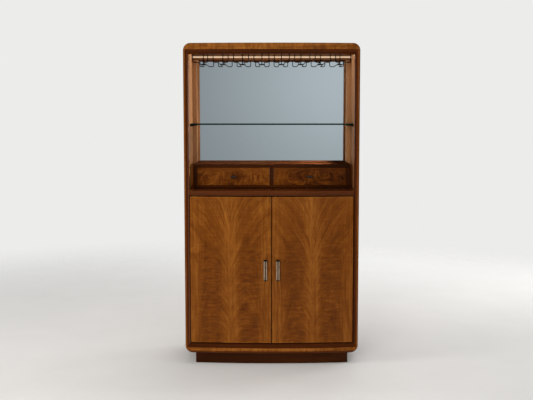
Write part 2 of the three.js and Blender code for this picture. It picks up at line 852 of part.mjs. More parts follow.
function addDoors() {
  sides.forEach(([name, side]) => {
    place(`door_${name}`, door(side), finishes.doorVeneer);
    place(`door_pull_${name}`, doorPull(side), finishes.pewter);
    place(`hinge_case_leaf_top_${name}`, caseLeaf(side, ledgeBottom, -1), finishes.brass);
    place(`hinge_door_leaf_top_${name}`, doorLeaf(side, doorTop, -1), finishes.brass);
    const seat = caseFloor + railHeight;
    place(`hinge_case_leaf_bottom_${name}`, caseLeaf(side, seat, 1), finishes.brass);
    place(`hinge_door_leaf_bottom_${name}`, doorLeaf(side, doorBottom, 1), finishes.brass);
  });
}

addCase();
addBay();
addDrawers();
addDoors();
armoire.position.y = -originY;

export default armoire;
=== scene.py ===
"""Looks of a bow-fronted bar armoire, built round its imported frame.

Places are worked out in millimetres from the front plane of the case sides, as a maker
would draw them, and go to metres in the row frame when a mesh is made. The case stands on
a recessed plinth; +Z is up and the front faces -Y.
"""
import logging
import math
from dataclasses import dataclass, field
from enum import Enum
from typing import Callable, Sequence

import bmesh
import bpy
import numpy as np
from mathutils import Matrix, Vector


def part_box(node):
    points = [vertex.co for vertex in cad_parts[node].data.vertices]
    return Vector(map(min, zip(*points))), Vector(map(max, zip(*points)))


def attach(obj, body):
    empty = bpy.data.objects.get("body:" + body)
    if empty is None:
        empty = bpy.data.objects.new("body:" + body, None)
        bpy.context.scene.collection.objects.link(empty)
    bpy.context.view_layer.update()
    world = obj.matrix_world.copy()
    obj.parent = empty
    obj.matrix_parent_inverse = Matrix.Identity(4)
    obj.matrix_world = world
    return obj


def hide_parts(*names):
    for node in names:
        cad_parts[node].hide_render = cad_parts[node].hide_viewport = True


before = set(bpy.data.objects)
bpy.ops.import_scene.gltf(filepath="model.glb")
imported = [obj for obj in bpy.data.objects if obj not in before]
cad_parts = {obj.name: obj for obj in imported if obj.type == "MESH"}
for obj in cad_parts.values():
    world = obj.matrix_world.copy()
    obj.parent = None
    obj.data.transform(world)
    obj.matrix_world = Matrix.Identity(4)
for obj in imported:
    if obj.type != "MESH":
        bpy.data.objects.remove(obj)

log = logging.getLogger("armoire")

Material = bpy.types.Material
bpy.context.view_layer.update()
MM = 0.001
CASE_DEPTH = 473.0
ORIGIN_Y = CASE_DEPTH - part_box("side_panel_left")[1].y / MM
SIDES = (("left", -1), ("right", 1))
MERGE = 2e-6  # points closer than this, in metres, become one
SHARP = 32.0  # edges that turn by more than this many degrees stay sharp


class Grain(Enum):
    """The axis along which a board's grain runs."""

    ACROSS = 0
    BACK = 1
    UP = 2

    def stretch(self, across: float, run: float) -> tuple:
        """Scales for a pattern: one number along the grain, another on the other axes."""
        return tuple(run if axis == self.value else across for axis in range(3))


# Shapes


@dataclass
class Shell:
    """A mesh in millimetres: its points and its faces, each face a row of indices."""

    points: np.ndarray
    faces: list

    def __add__(self, other: "Shell") -> "Shell":
        """Both shells as one mesh, their points kept apart."""
        count = len(self.points)
        moved = [[index + count for index in face] for face in other.faces]
        return Shell(np.concatenate([self.points, other.points]), self.faces + moved)

    def placed(self, change: Callable[[np.ndarray], np.ndarray]) -> "Shell":
        """The same faces on points that a function has moved."""
        return Shell(change(self.points), self.faces)


def joined(shells: Sequence[Shell]) -> Shell:
    """All shells as one mesh.

    Args:
        shells: one or more shells.

    Returns:
        One shell with every point and face.
    """
    total = shells[0]
    for shell in shells[1:]:
        total = total + shell
    return total


def grid_faces(rows: int, columns: int, ring: bool = False) -> list:
    """Four-sided faces of a grid of points stored row by row.

    Args:
        rows: how many rows of points.
        columns: how many points in a row.
        ring: True if the last point of each row joins its first.

    Returns:
        The faces as lists of four indices.
    """
    across = columns if ring else columns - 1
    row, column = np.meshgrid(np.arange(rows - 1), np.arange(across), indexing="ij")
    after = (column + 1) % columns
    here, there = row * columns, (row + 1) * columns
    quads = np.stack([here + column, there + column, there + after, here + after], -1)
    return quads.reshape(-1, 4).tolist()


def loft(rings: np.ndarray) -> Shell:
    """A skin over closed rings, with one flat face at each end.

    Point k of one ring joins point k of the next.

    Args:
        rings: stations by ring points by three.

    Returns:
        The closed shell.
    """
    stations, around = rings.shape[:2]
    faces = grid_faces(stations, around, ring=True)
    faces.append(list(range(around))[::-1])
    faces.append(list(range((stations - 1) * around, stations * around)))
    return Shell(rings.reshape(-1, 3), faces)


def eased_board(
    x: Sequence[float],
    y: Sequence[float],
    z: Sequence[float],
    ease: float = 1.2,
    cells: Sequence[int] = (1, 1, 1),
    steps: int = 2,
) -> Shell:
    """A board with rounded edges and corners.

    Each point of a box's face is drawn in to an inner box, smaller by the rounding, and
    pushed out from there by the rounding along the line that joins the two.

    Args:
        x: its two ends to the sides, in either order.
        y: its front and back.
        z: its foot and top.
        ease: radius of the edges.
        cells: divisions of the flat part along each axis.
        steps: divisions of half a rounding.

    Returns:
        The closed shell.
    """
    low, high = np.sort(np.array([x, y, z], float)).T
    inner_low, inner_high = low + ease, high - ease
    turn = ease * np.tan(np.linspace(0, math.pi / 4, steps + 1))[1:]
    lines = [
        np.concatenate([
            inner_low[axis] - turn[::-1],
            np.linspace(inner_low[axis], inner_high[axis], cells[axis] + 1),
            inner_high[axis] + turn,
        ])
        for axis in range(3)
    ]
    sides = []
    for axis, (first, second) in enumerate(((1, 2), (2, 0), (0, 1))):
        for end in (low, high):
            u, v = np.meshgrid(lines[first], lines[second], indexing="ij")
            box = np.empty(u.shape + (3,))
            box[..., first], box[..., second], box[..., axis] = u, v, end[axis]
            core = np.clip(box, inner_low, inner_high)
            out = box - core
            reach = np.linalg.norm(out, axis=-1, keepdims=True)
            points = (core + ease * out / reach).reshape(-1, 3)
            sides.append(Shell(points, grid_faces(*u.shape)))
    return joined(sides)


def inset_outline(outline: np.ndarray, distance: float) -> np.ndarray:
    """An outline drawn in: each point moves along the mean of its two edges' normals.

    Args:
        outline: points in turn, anticlockwise, two numbers each.
        distance: how far the edges move in.

    Returns:
        The points drawn in.
    """
    after = np.roll(outline, -1, axis=0) - outline
    normal = np.stack([after[:, 1], -after[:, 0]], -1)
    normal /= np.linalg.norm(normal, axis=1, keepdims=True)
    before = np.roll(normal, 1, axis=0)
    spread = 1 + np.sum(normal * before, axis=1, keepdims=True)
    return outline - distance * (normal + before) / spread


def bar_across(section: np.ndarray, half: float) -> Shell:
    """A section of y and z carried straight across.

    Args:
        section: points in turn, y and z.
        half: the bar runs from minus this to this.

    Returns:
        The closed shell.
    """
    rings = np.empty((2, len(section), 3))
    rings[..., 0] = np.array([-half, half])[:, None]
    rings[..., 1:] = section
    return loft(rings)


def quarter_round(radius: "float | np.ndarray", steps: int) -> list[tuple]:
    """A quarter round, from the side face to the end face.

    At share a of the quarter turn it is drawn in by radius (1 - cos a) and lies
    radius (1 - sin a) inside the end.

    Args:
        radius: the rounding's radius.
        steps: divisions of the quarter turn.

    Returns:
        Pairs of inset and distance from the end.
    """
    turn = np.linspace(0, math.pi / 2, steps + 1)
    return [(radius * (1 - math.cos(a)), radius * (1 - math.sin(a))) for a in turn]


def prism(
    outline: np.ndarray, low: float, high: float, ease_low: float, ease_high: float,
    axis: int = 2, steps: int = 4,
) -> Shell:
    """An outline carried along an axis, with a quarter round at either end.

    Args:
        outline: points in turn, two numbers each, for the two other axes in cyclic order.
        low: where the run starts.
        high: where the run ends.
        ease_low: rounding at the start.
        ease_high: rounding at the end.
        axis: 0, 1 or 2, the axis of the run.
        steps: divisions of each rounding.

    Returns:
        The closed shell.
    """
    places = [(low + depth, inset) for inset, depth in quarter_round(ease_low, steps)[::-1]]
    places += [(high - depth, inset) for inset, depth in quarter_round(ease_high, steps)]
    rings = np.empty((len(places), len(outline), 3))
    for ring, (place, inset) in zip(rings, places):
        ring[:, [(axis + 1) % 3, (axis + 2) % 3]] = inset_outline(outline, inset)
        ring[:, axis] = place
    return loft(rings)


def turned(profile: Sequence[tuple], centre: Sequence[float], axis: int, sides: int = 24) -> Shell:
    """A profile turned about an axis: radius and place along the axis, from end to end.

    Args:
        profile: pairs of radius and place; the ends have radius 0 or are closed flat.
        centre: the point that places along the axis count from.
        axis: 0, 1 or 2, the axis of the turning.
        sides: points around.

    Returns:
        The closed shell.
    """
    radius, place = np.array(profile, float).T
    angle = np.linspace(0, 2 * math.pi, sides, endpoint=False)
    rings = np.empty((len(radius), sides, 3))
    rings[..., (axis + 1) % 3] = radius[:, None] * np.cos(angle)
    rings[..., (axis + 2) % 3] = radius[:, None] * np.sin(angle)
    rings[..., axis] = place[:, None]
    return loft(rings + np.array(centre, float))


def rounded_route(corners: Sequence[tuple], steps: int = 7) -> np.ndarray:
    """A route with its right-angled corners turned to quarter circles.

    Args:
        corners: x, y, z and, but for the two ends, the radius of the bend.
        steps: divisions of each bend.

    Returns:
        The points of the route.
    """
    points = [np.array(corner[:3], float) for corner in corners]
    parts = [points[0][None]]
    turn = np.linspace(0, math.pi / 2, steps + 1)[:, None]
    for before, corner, after, (*_, radius) in zip(points, points[1:], points[2:], corners[1:]):
        start = corner + (before - corner) / np.linalg.norm(before - corner) * radius
        end = corner + (after - corner) / np.linalg.norm(after - corner) * radius
        centre = start + end - corner
        parts.append(centre + (start - centre) * np.cos(turn) + (end - centre) * np.sin(turn))
    parts.append(points[-1][None])
    return np.concatenate(parts)


def tube(route: np.ndarray, radius: float, sides: int = 12, end_ease: float = 0.6) -> Shell:
    """A round wire along a route, its two ends eased.

    The ring at each point lies square to the mean of its two runs. A fixed slant line that
    no run is parallel to gives each ring its first direction.

    Args:
        route: the points of the centre line.
        radius: radius of the wire.
        sides: points around.
        end_ease: how far the ends are rounded.

    Returns:
        The closed shell.
    """
    run = np.gradient(route, axis=0)
    run /= np.linalg.norm(run, axis=1, keepdims=True)
    reach = np.full(len(route), radius)
    head, tail = route[0] + run[0] * end_ease, route[-1] - run[-1] * end_ease
    route = np.concatenate([route[:1], head[None], route[1:-1], tail[None], route[-1:]])
    run = np.concatenate([run[:1], run[:1], run[1:-1], run[-1:], run[-1:]])
    reach = np.concatenate([[radius - end_ease], reach, [radius - end_ease]])
    slant = np.array([0.35, -0.52, 0.78])
    side = np.cross(run, slant)
    side /= np.linalg.norm(side, axis=1, keepdims=True)
    other = np.cross(run, side)
    angle = np.linspace(0, 2 * math.pi, sides, endpoint=False)[None, :, None]
    rings = side[:, None] * np.cos(angle) + other[:, None] * np.sin(angle)
    return loft(route[:, None] + rings * reach[:, None, None])


@dataclass(frozen=True)
class Bow:
    """The bowed front line seen from above: a circle's arc through both front corners."""

    half_width: float = 559.0
    rise: float = 32.0

    @property
    def radius(self) -> float:
        """Radius of the arc, from its half width and its rise."""
        return (self.half_width ** 2 + self.rise ** 2) / (2 * self.rise)

    def y(self, x: np.ndarray, depth: np.ndarray) -> np.ndarray:
        """Place from front to back at x, a given depth behind the bow."""
        centre = self.radius - self.rise
        return centre - np.sqrt((self.radius - depth) ** 2 - np.square(x))

    def bend(self, points: np.ndarray) -> np.ndarray:
        """Points drawn as x, depth and z, put behind the bow."""
        bent = points.copy()
        bent[:, 1] = self.y(points[:, 0], points[:, 1])
        return bent


BOW = Bow()


# Pieces


def shell_mesh(name: str, shell: Shell) -> bpy.types.Mesh:
    """A shell as a mesh, in metres and in the row frame."""
    mesh = bpy.data.meshes.new(name)
    points = (shell.points - np.array([0, ORIGIN_Y, 0])) * MM
    mesh.from_pydata(points.tolist(), [], shell.faces)
    return mesh


def merge(mesh: bpy.types.Mesh, thin: bool = False, turn: bool = False) -> None:
    """Merges points that meet.

    Args:
        mesh: the mesh to change.
        thin: True also takes away edges of no length.
        turn: True then turns every face outwards.
    """
    work = bmesh.new()
    work.from_mesh(mesh)
    bmesh.ops.remove_doubles(work, verts=work.verts, dist=MERGE)
    if thin:
        bmesh.ops.dissolve_degenerate(work, edges=work.edges, dist=MERGE / 2)
    if turn:
        bmesh.ops.recalc_face_normals(work, faces=work.faces)
    work.to_mesh(mesh)
    work.free()


def put(name: str, data: bpy.types.ID) -> bpy.types.Object:
    """Puts a mesh, a lamp or a camera into the scene as an object."""
    item = bpy.data.objects.new(name, data)
    bpy.context.scene.collection.objects.link(item)
    return item


def make_piece(
    name: str, shell: Shell, material: Material, body: str = "case",
    nodes: Sequence[str] = (), sharp: float = SHARP, weighted: bool = True,
) -> bpy.types.Object:
    """Puts a shell into the scene as one finished piece.

    Args:
        name: the piece's name.
        shell: its mesh in millimetres.
        material: its finish.
        body: the body it rides on.
        nodes: CAD nodes that it stands for.
        sharp: edges that turn by more than this many degrees stay sharp.
        weighted: True gives flat faces flat shading beside their roundings.

    Returns:
        The new object.
    """
    mesh = shell_mesh(name, shell)
    merge(mesh, thin=True, turn=True)
    return dress_mesh(name, mesh, material, body, nodes, sharp, weighted)


def dress_mesh(
    name: str, mesh: bpy.types.Mesh, material: Material, body: str,
    nodes: Sequence[str], sharp: float, weighted: bool,
) -> bpy.types.Object:
    """Makes a mesh an object with its shading, finish and body.

    Args:
        name: the piece's name.
        mesh: its mesh.
        material, body, nodes, sharp, weighted: as in make_piece.

    Returns:
        The new object.
    """
    mesh.shade_smooth()
    mesh.set_sharp_from_angle(angle=math.radians(sharp))
    mesh.materials.clear()
    mesh.materials.append(material)
    piece = put(name, mesh)
    if weighted:
        normals = piece.modifiers.new("flat faces", "WEIGHTED_NORMAL")
        normals.mode = "FACE_AREA"
        normals.keep_sharp = True
    if nodes:
        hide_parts(*nodes)
    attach(piece, body)
    log.info("%s: %d faces on %s", name, len(mesh.polygons), body)
    return piece


def cad_copy(
    node: str, material: Material, body: str, ease: float = 0.4
) -> bpy.types.Object:
    """Stands a merged copy with eased edges in for a small machined CAD node.

    Args:
        node: the CAD node.
        material: its finish.
        body: the body it rides on.
        ease: width of the edge rounding in millimetres.

    Returns:
        The new object.
    """
    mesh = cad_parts[node].data.copy()
    merge(mesh)
    piece = dress_mesh(node + "_plate", mesh, material, body, [node], SHARP, False)
    bevel = piece.modifiers.new("eased edges", "BEVEL")
    bevel.width = ease * MM
    bevel.segments = 2
    bevel.limit_method = "ANGLE"
    bevel.angle_limit = math.radians(40)
    bevel.harden_normals = True
    return piece


def refinish(
    piece: bpy.types.Object, second: Material,
    chosen: Callable[[np.ndarray, np.ndarray], np.ndarray],
) -> None:
    """Gives some faces of a piece a further finish.

    Args:
        piece: the piece.
        second: the further finish.
        chosen: tells from the faces' normals and centres which faces take it.
    """
    piece.data.materials.append(second)
    faces = piece.data.polygons
    index = np.empty(len(faces), np.int32)
    normal, centre = np.empty((2, len(faces) * 3))
    faces.foreach_get("material_index", index)
    faces.foreach_get("normal", normal)
    faces.foreach_get("center", centre)
    index[chosen(normal.reshape(-1, 3), centre.reshape(-1, 3))] = len(piece.data.materials) - 1
    faces.foreach_set("material_index", index)


def carve(piece: bpy.types.Object, cutters: Sequence[Shell]) -> None:
    """Cuts shells out of a piece and keeps the result as its plain mesh.

    Args:
        piece: the piece to cut.
        cutters: closed shells in millimetres.
    """
    shading = list(piece.modifiers)
    tools, cuts = [], []
    for number, shell in enumerate(cutters):
        mesh = shell_mesh(f"cut {number}", shell)
        merge(mesh, turn=True)
        tools.append(put(mesh.name, mesh))
        cut = piece.modifiers.new(mesh.name, "BOOLEAN")
        cut.operation = "DIFFERENCE"
        cut.solver = "EXACT"
        cut.object = tools[-1]
        cuts.append(cut)
    for modifier in shading:
        modifier.show_viewport = False
    bpy.context.view_layer.update()
    settled = piece.evaluated_get(bpy.context.evaluated_depsgraph_get())
    mesh = bpy.data.meshes.new_from_object(settled)
    for cut in cuts:
        piece.modifiers.remove(cut)
    for modifier in shading:
        modifier.show_viewport = True
    mesh.set_sharp_from_angle(angle=math.radians(SHARP))
    piece.data = mesh
    for tool in tools:
        bpy.data.objects.remove(tool)


# Shader maths


def linear(red: float, green: float, blue: float) -> tuple:
    """A colour given as 0 to 255 on screen, as linear light with alpha."""
    share = np.array([red, green, blue]) / 255
    light = np.where(share <= 0.04045, share / 12.92, ((share + 0.055) / 1.055) ** 2.4)
    return (*light.tolist(), 1.0)


class Signal:
    """One socket of a shader tree that can be used in sums."""

    def __init__(self, layer: "Layer", socket: bpy.types.NodeSocket) -> None:
        """Keeps the tree's layer and the socket."""
        self.layer = layer
        self.socket = socket

    def math(self, operation: str, *others: "Signal | float") -> "Signal":
        """A Math node's work on this value and the others, in the node's order."""
        return self.layer.math(operation, self, *others)

    def __add__(self, other: "Signal | float") -> "Signal":
        """The sum."""
        return self.math("ADD", other)

    def __sub__(self, other: "Signal | float") -> "Signal":
        """The difference."""
        return self.math("SUBTRACT", other)

    def __rsub__(self, other: float) -> "Signal":
        """The difference from a number."""
        return self.layer.math("SUBTRACT", other, self)

    def __mul__(self, other: "Signal | float") -> "Signal":
        """The product."""
        return self.math("MULTIPLY", other)

    def __truediv__(self, other: "Signal | float") -> "Signal":
        """The quotient."""
        return self.math("DIVIDE", other)

    def __pow__(self, other: "Signal | float") -> "Signal":
        """The power."""
        return self.math("POWER", other)

    def __abs__(self) -> "Signal":
        """The size without its sign."""
        return self.math("ABSOLUTE")

    __radd__ = __add__
    __rmul__ = __mul__

    def between(self, low: float, high: float) -> "Signal":
        """0 below low, 1 above high and a smooth step between.

        Args:
            low: where the step starts.
            high: where it ends; below low turns the step round.

        Returns:
            The step.
        """
        step = (self - low) / (high - low)
        step = step.math("MAXIMUM", 0.0).math("MINIMUM", 1.0)
        return step * step * (3.0 - step * 2.0)


def weighed(start: float, *shares: tuple) -> Signal:
    """A start value plus each signal's distance from 0.5 times its weight.

    Args:
        start: the value when every signal is 0.5.
        shares: pairs of a signal and its weight.

    Returns:
        The sum.
    """
    total: Signal | float = start
    for signal, weight in shares:
        total = total + (signal - 0.5) * weight
    return total


class Layer:
    """A shader tree while its nodes are laid."""

    def __init__(self, tree: bpy.types.NodeTree) -> None:
        """Keeps the tree."""
        self.tree = tree

    def link(self, socket: bpy.types.NodeSocket, value: "Signal | float | tuple") -> None:
        """Links a signal to a socket, or sets the socket's constant."""
        if isinstance(value, Signal):
            self.tree.links.new(value.socket, socket)
        else:
            socket.default_value = value

    def add(self, kind: str, settings: dict, sockets: dict) -> bpy.types.Node:
        """Adds any node.

        Args:
            kind: the node's type without its ShaderNode prefix.
            settings: its properties; stops gives a ramp's places and colours.
            sockets: values and signals by socket name or number.

        Returns:
            The node.
        """
        node = self.tree.nodes.new("ShaderNode" + kind)
        for key, value in settings.items():
            if key == "stops":
                ramp = node.color_ramp
                while len(ramp.elements) < len(value):
                    ramp.elements.new(1.0)
                for element, (place, colour) in zip(ramp.elements, value):
                    element.position = place
                    element.color = colour
            else:
                setattr(node, key, value)
        for key, value in sockets.items():
            self.link(node.inputs[key], value)
        return node

    def node(self, kind: str, settings: dict, sockets: dict, out: int | str = 0) -> Signal:
        """Adds a node as add does and gives one of its outputs."""
        return Signal(self, self.add(kind, settings, sockets).outputs[out])

    def math(self, operation: str, *values: "Signal | float") -> Signal:
        """A Math node's work on values in the node's order."""
        return self.node("Math", {"operation": operation}, dict(enumerate(values)))


class Recipe(Layer):
    """A material while its nodes are laid."""

    def __init__(self, name: str) -> None:
        """Starts a material with one Principled shader."""
        self.material = bpy.data.materials.new(name)
        self.material.use_nodes = True
        super().__init__(self.material.node_tree)
        self.shader = next(n for n in self.tree.nodes if n.type == "BSDF_PRINCIPLED")

    def place(self) -> Signal:
        """The Object coordinate."""
        return self.node("TexCoord", {}, {}, "Object")

    def parts(self, vector: Signal) -> list[Signal]:
        """The three numbers of a vector."""
        outputs = self.add("SeparateXYZ", {}, {0: vector}).outputs
        return [Signal(self, outputs[index]) for index in range(3)]

    def vector(self, x: "Signal | float", y: "Signal | float", z: "Signal | float") -> Signal:
        """Three values as one vector."""
        return self.node("CombineXYZ", {}, {0: x, 1: y, 2: z})

    def scaled(
        self, vector: Signal, scale: Sequence[float], move: Sequence[float] = (0, 0, 0)
    ) -> Signal:
        """A vector times a scale for each axis, plus a shift."""
        settings = {"operation": "MULTIPLY_ADD"}
        return self.node("VectorMath", settings, {0: vector, 1: tuple(scale), 2: tuple(move)})

    def noise(
        self, vector: Signal, scale: Sequence[float] | None = None,
        move: Sequence[float] = (0, 0, 0), detail: float = 2.0, rough: float = 0.5,
        distortion: float = 0.0,
    ) -> Signal:
        """Smooth random values about 0.5.

        Args:
            vector: where they are read.
            scale: how many to the metre along each axis, if the vector is in metres.
            move: a shift of the scaled vector.
            detail: octaves of finer noise.
            rough: how strong each finer octave is.
            distortion: how far the noise bends itself.

        Returns:
            The values.
        """
        if scale is not None:
            vector = self.scaled(vector, scale, move)
        return self.node("TexNoise", {}, {
            "Vector": vector, "Scale": 1.0, "Detail": detail, "Roughness": rough,
            "Distortion": distortion,
        })

    def ramp(self, value: Signal, stops: Sequence[tuple]) -> Signal:
        """A colour read from stops along 0 to 1."""
        return self.node("ValToRGB", {"stops": stops}, {0: value})

    def mix(
        self, share: "Signal | float", first: "Signal | tuple", second: "Signal | tuple"
    ) -> Signal:
        """Two colours mixed by a share."""
        return self.node("Mix", {"data_type": "RGBA"}, {0: share, 6: first, 7: second}, 2)

    def bump(self, height: Signal, strength: float) -> Signal:
        """A normal bent by a height of up to 0.2 mm."""
        sockets = {"Strength": strength, "Distance": 0.2 * MM, "Height": height}
        return self.node("Bump", {}, sockets)

    def finish(self, sockets: dict) -> Material:
        """Sets or links the shader's own sockets and hands the material over."""
        for name, value in sockets.items():
            self.link(self.shader.inputs[name], value)
        return self.material


# Finishes


def tones(*colours: tuple) -> dict:
    """A wood's dark, middle and light tone from three colours on screen."""
    return dict(zip(("dark", "middle", "light"), (linear(*colour) for colour in colours)))


@dataclass(frozen=True)
class StraightVeneer:
    """Lacquered veneer with a straight grain, long streaks and a faint cross ripple."""

    name: str
    dark: tuple
    middle: tuple
    light: tuple
    grain: Grain = Grain.UP
    streaks: float = 1.2
    ripple: float = 0.6
    roughness: float = 0.34
    specular: float = 0.1
    coat: float = 0.02
    # Below this height the tone is painted darker: painted shade.
    foot_z: float = 0.0
    # From one x to another the tone is painted darker by a share: painted shade.
    fade: tuple | None = None
    seed: float = 0.0

    def build(self) -> Material:
        """Lays the nodes: broad, middle and fine streaks along the grain pick the colour.

        Below the foot height the wood is painted darker: painted shade on the lower rounding,
        which faces down. Past one x towards another it is painted darker by a share of the
        tone: painted shade across the board.

        Returns:
            The material.
        """
        recipe, stretch = Recipe(self.name), self.grain.stretch
        here = recipe.place()
        place = recipe.scaled(here, (1, 1, 1), (self.seed, self.seed * 0.7, self.seed * 1.3))
        broad = recipe.noise(place, stretch(5, 0.5))
        middle = recipe.noise(place, stretch(38, 0.9), detail=4, rough=0.6, distortion=0.15)
        fine = recipe.noise(place, stretch(210, 3), detail=3, rough=0.65)
        cross = recipe.noise(place, stretch(15, 56), detail=3, distortion=0.6)
        pores = recipe.noise(place, stretch(1500, 42), detail=1).between(0.6, 0.72)
        tone = weighed(0.5, (broad, 0.7), (middle, 1.05 * self.streaks),
                       (fine, 0.6 * self.streaks), (cross, self.ripple)) - pores * 0.1
        # Painted shade: the wood darkens below the foot height, on the downward lower rounding.
        if self.foot_z:
            painted_foot_shade = recipe.parts(here)[2].between(self.foot_z + 0.014, self.foot_z - 0.004)
            tone = tone - painted_foot_shade * 0.95
        # Painted shade: the tone falls from one x to another across the board.
        if self.fade:
            start, end, amount = self.fade
            tone = tone - recipe.parts(here)[0].between(start, end) * amount
        stops = ((0.12, self.dark), (0.5, self.middle), (0.88, self.light))
        return recipe.finish({
            "Base Color": recipe.ramp(tone, stops),
            "Roughness": self.roughness + (middle - 0.5) * 0.12 + pores * 0.15,
            "Specular IOR Level": self.specular,
            "Coat Weight": self.coat, "Coat Roughness": 0.16,
            "Normal": recipe.bump(fine * 0.4 - pores, 0.25),
        })


@dataclass(frozen=True)
class FeatherVeneer:
    """Crotch veneer: a light spine whose plume lines fan up and out, with cloudy ripples."""

    name: str
    axis_x: float
    dark: tuple
    middle: tuple
    light: tuple
    # Dark rim colour: partly a dark edge stain, partly painted shade of the door's gap.
    rim: tuple = linear(33, 13, 4)
    half_width: float = 0.2605
    low: float = 0.145
    high: float = 1.093
    seed: float = 0.0
    roughness: float = 0.33

    def build(self) -> Material:
        """Lays the nodes.

        A plume line keeps z less a curve of the distance from the spine. The curve is a
        logarithm, so a line leaves the spine steeply and flattens, and low on the door it
        turns down again towards both edges. The board's narrow sides and a thin band round
        its face take the rim's dark colour: partly a dark edge stain, partly painted shade
        of the gap round the door.

        Returns:
            The material.
        """
        recipe = Recipe(self.name)
        x, _, z = recipe.parts(recipe.place())
        place = recipe.vector(x + self.seed, 0.0, z + self.seed * 0.6)
        sway = recipe.noise(place, (2.5, 1, 2.2)) - 0.5
        wander = recipe.noise(place, (10, 1, 8), detail=3) - 0.5
        offset = x - self.axis_x + sway * 0.05
        aside = abs(offset) + 0.0015
        side = offset.between(-0.004, 0.004)
        height = (z - self.low) / (self.high - self.low)

        climb = 0.085 + height.between(0.35, 1.0) * 0.085
        spread = (aside / 0.022 + 1.0).math("LOGARITHM", math.e)
        droop = height.between(0.75, 0.2) * (aside - 0.1).math("MAXIMUM", 0.0) ** 1.5
        plume = z - climb * spread + droop * 9.0 + wander * 0.05
        fan = recipe.vector(plume * 15.0, side * 3.7 + self.seed, aside * 3.0)
        strokes = recipe.noise(fan, detail=3, rough=0.6)
        lines = recipe.noise(recipe.vector(plume * 74.0, side * 5.1, aside * 9.0))
        fine = recipe.noise(recipe.vector(plume * 190.0, side * 2.3, aside * 16.0))
        spine = aside.between(0.075, 0.015)
        flank = aside.between(0.03, 0.085) * aside.between(0.225, 0.15)
        edge = aside.between(0.15, 0.235)

        straight = recipe.noise(place, (70, 1, 2.4), detail=3, rough=0.6)
        hair = recipe.noise(place, (330, 1, 7), detail=3, rough=0.6)
        cloud = recipe.noise(place, (8.5, 1, 5.5), rough=0.6)
        patch = recipe.noise(place, (19, 1, 17), (5, 0, 3), rough=0.6)
        ripple = recipe.noise(place, (12, 1, 68), rough=0.6, distortion=0.5)
        clear = recipe.noise(place, (6, 1, 5), (7, 0, 2), detail=1).between(0.3, 0.65)
        pores = recipe.noise(place, (1400, 1, 60), detail=1).between(0.6, 0.72)

        lobes = flank * height.between(1.0, 0.5)
        calm = (1.0 - lobes * 0.55) * (0.5 + height.between(0.0, 0.28) * 0.5)
        shade = flank * (0.35 + height.between(1.0, 0.45) * 0.65) * cloud.between(0.25, 0.7)
        tone = 0.54 + (strokes - 0.5) * (0.4 + clear * 0.5) * calm + (cloud - 0.5) * 0.35
        tone = tone + (lines - 0.5) * (0.42 + clear * 0.42) * calm * (1.0 - edge * 0.5)
        tone = weighed(tone, (fine, 0.42), (patch, 0.35))
        tone = tone + spine * (0.05 + height.between(0.0, 0.3) * 0.08)
        tone = weighed(tone, (straight, 0.25 + spine * 0.4 + edge * 0.7)) + edge * 0.05
        tone = weighed(tone - shade * 0.28, (ripple, 0.15 + lobes * 0.75), (hair, 0.36))
        border = abs(z - (self.low + self.high) / 2) - (self.high - self.low) / 2
        tone = tone - pores * 0.14 + border.between(-0.009, -0.004) * 0.16
        stops = ((0.03, self.dark), (0.5, self.middle), (0.97, self.light))
        # Dark rim: partly a dark edge stain, partly painted shade of the gap round the door.
        inside = (abs(x - self.axis_x) - self.half_width).between(0.0, -0.0022)
        inside = inside * border.between(0.0, -0.0022)
        return recipe.finish({
            "Base Color": recipe.mix(inside, self.rim, recipe.ramp(tone, stops)),
            "Roughness": self.roughness + (straight - 0.5) * 0.1 + pores * 0.12,
            "Specular IOR Level": 0.09,
            "Coat Weight": 0.015, "Coat Roughness": 0.16,
            "Normal": recipe.bump(hair * 0.4 - pores, 0.2),
        })


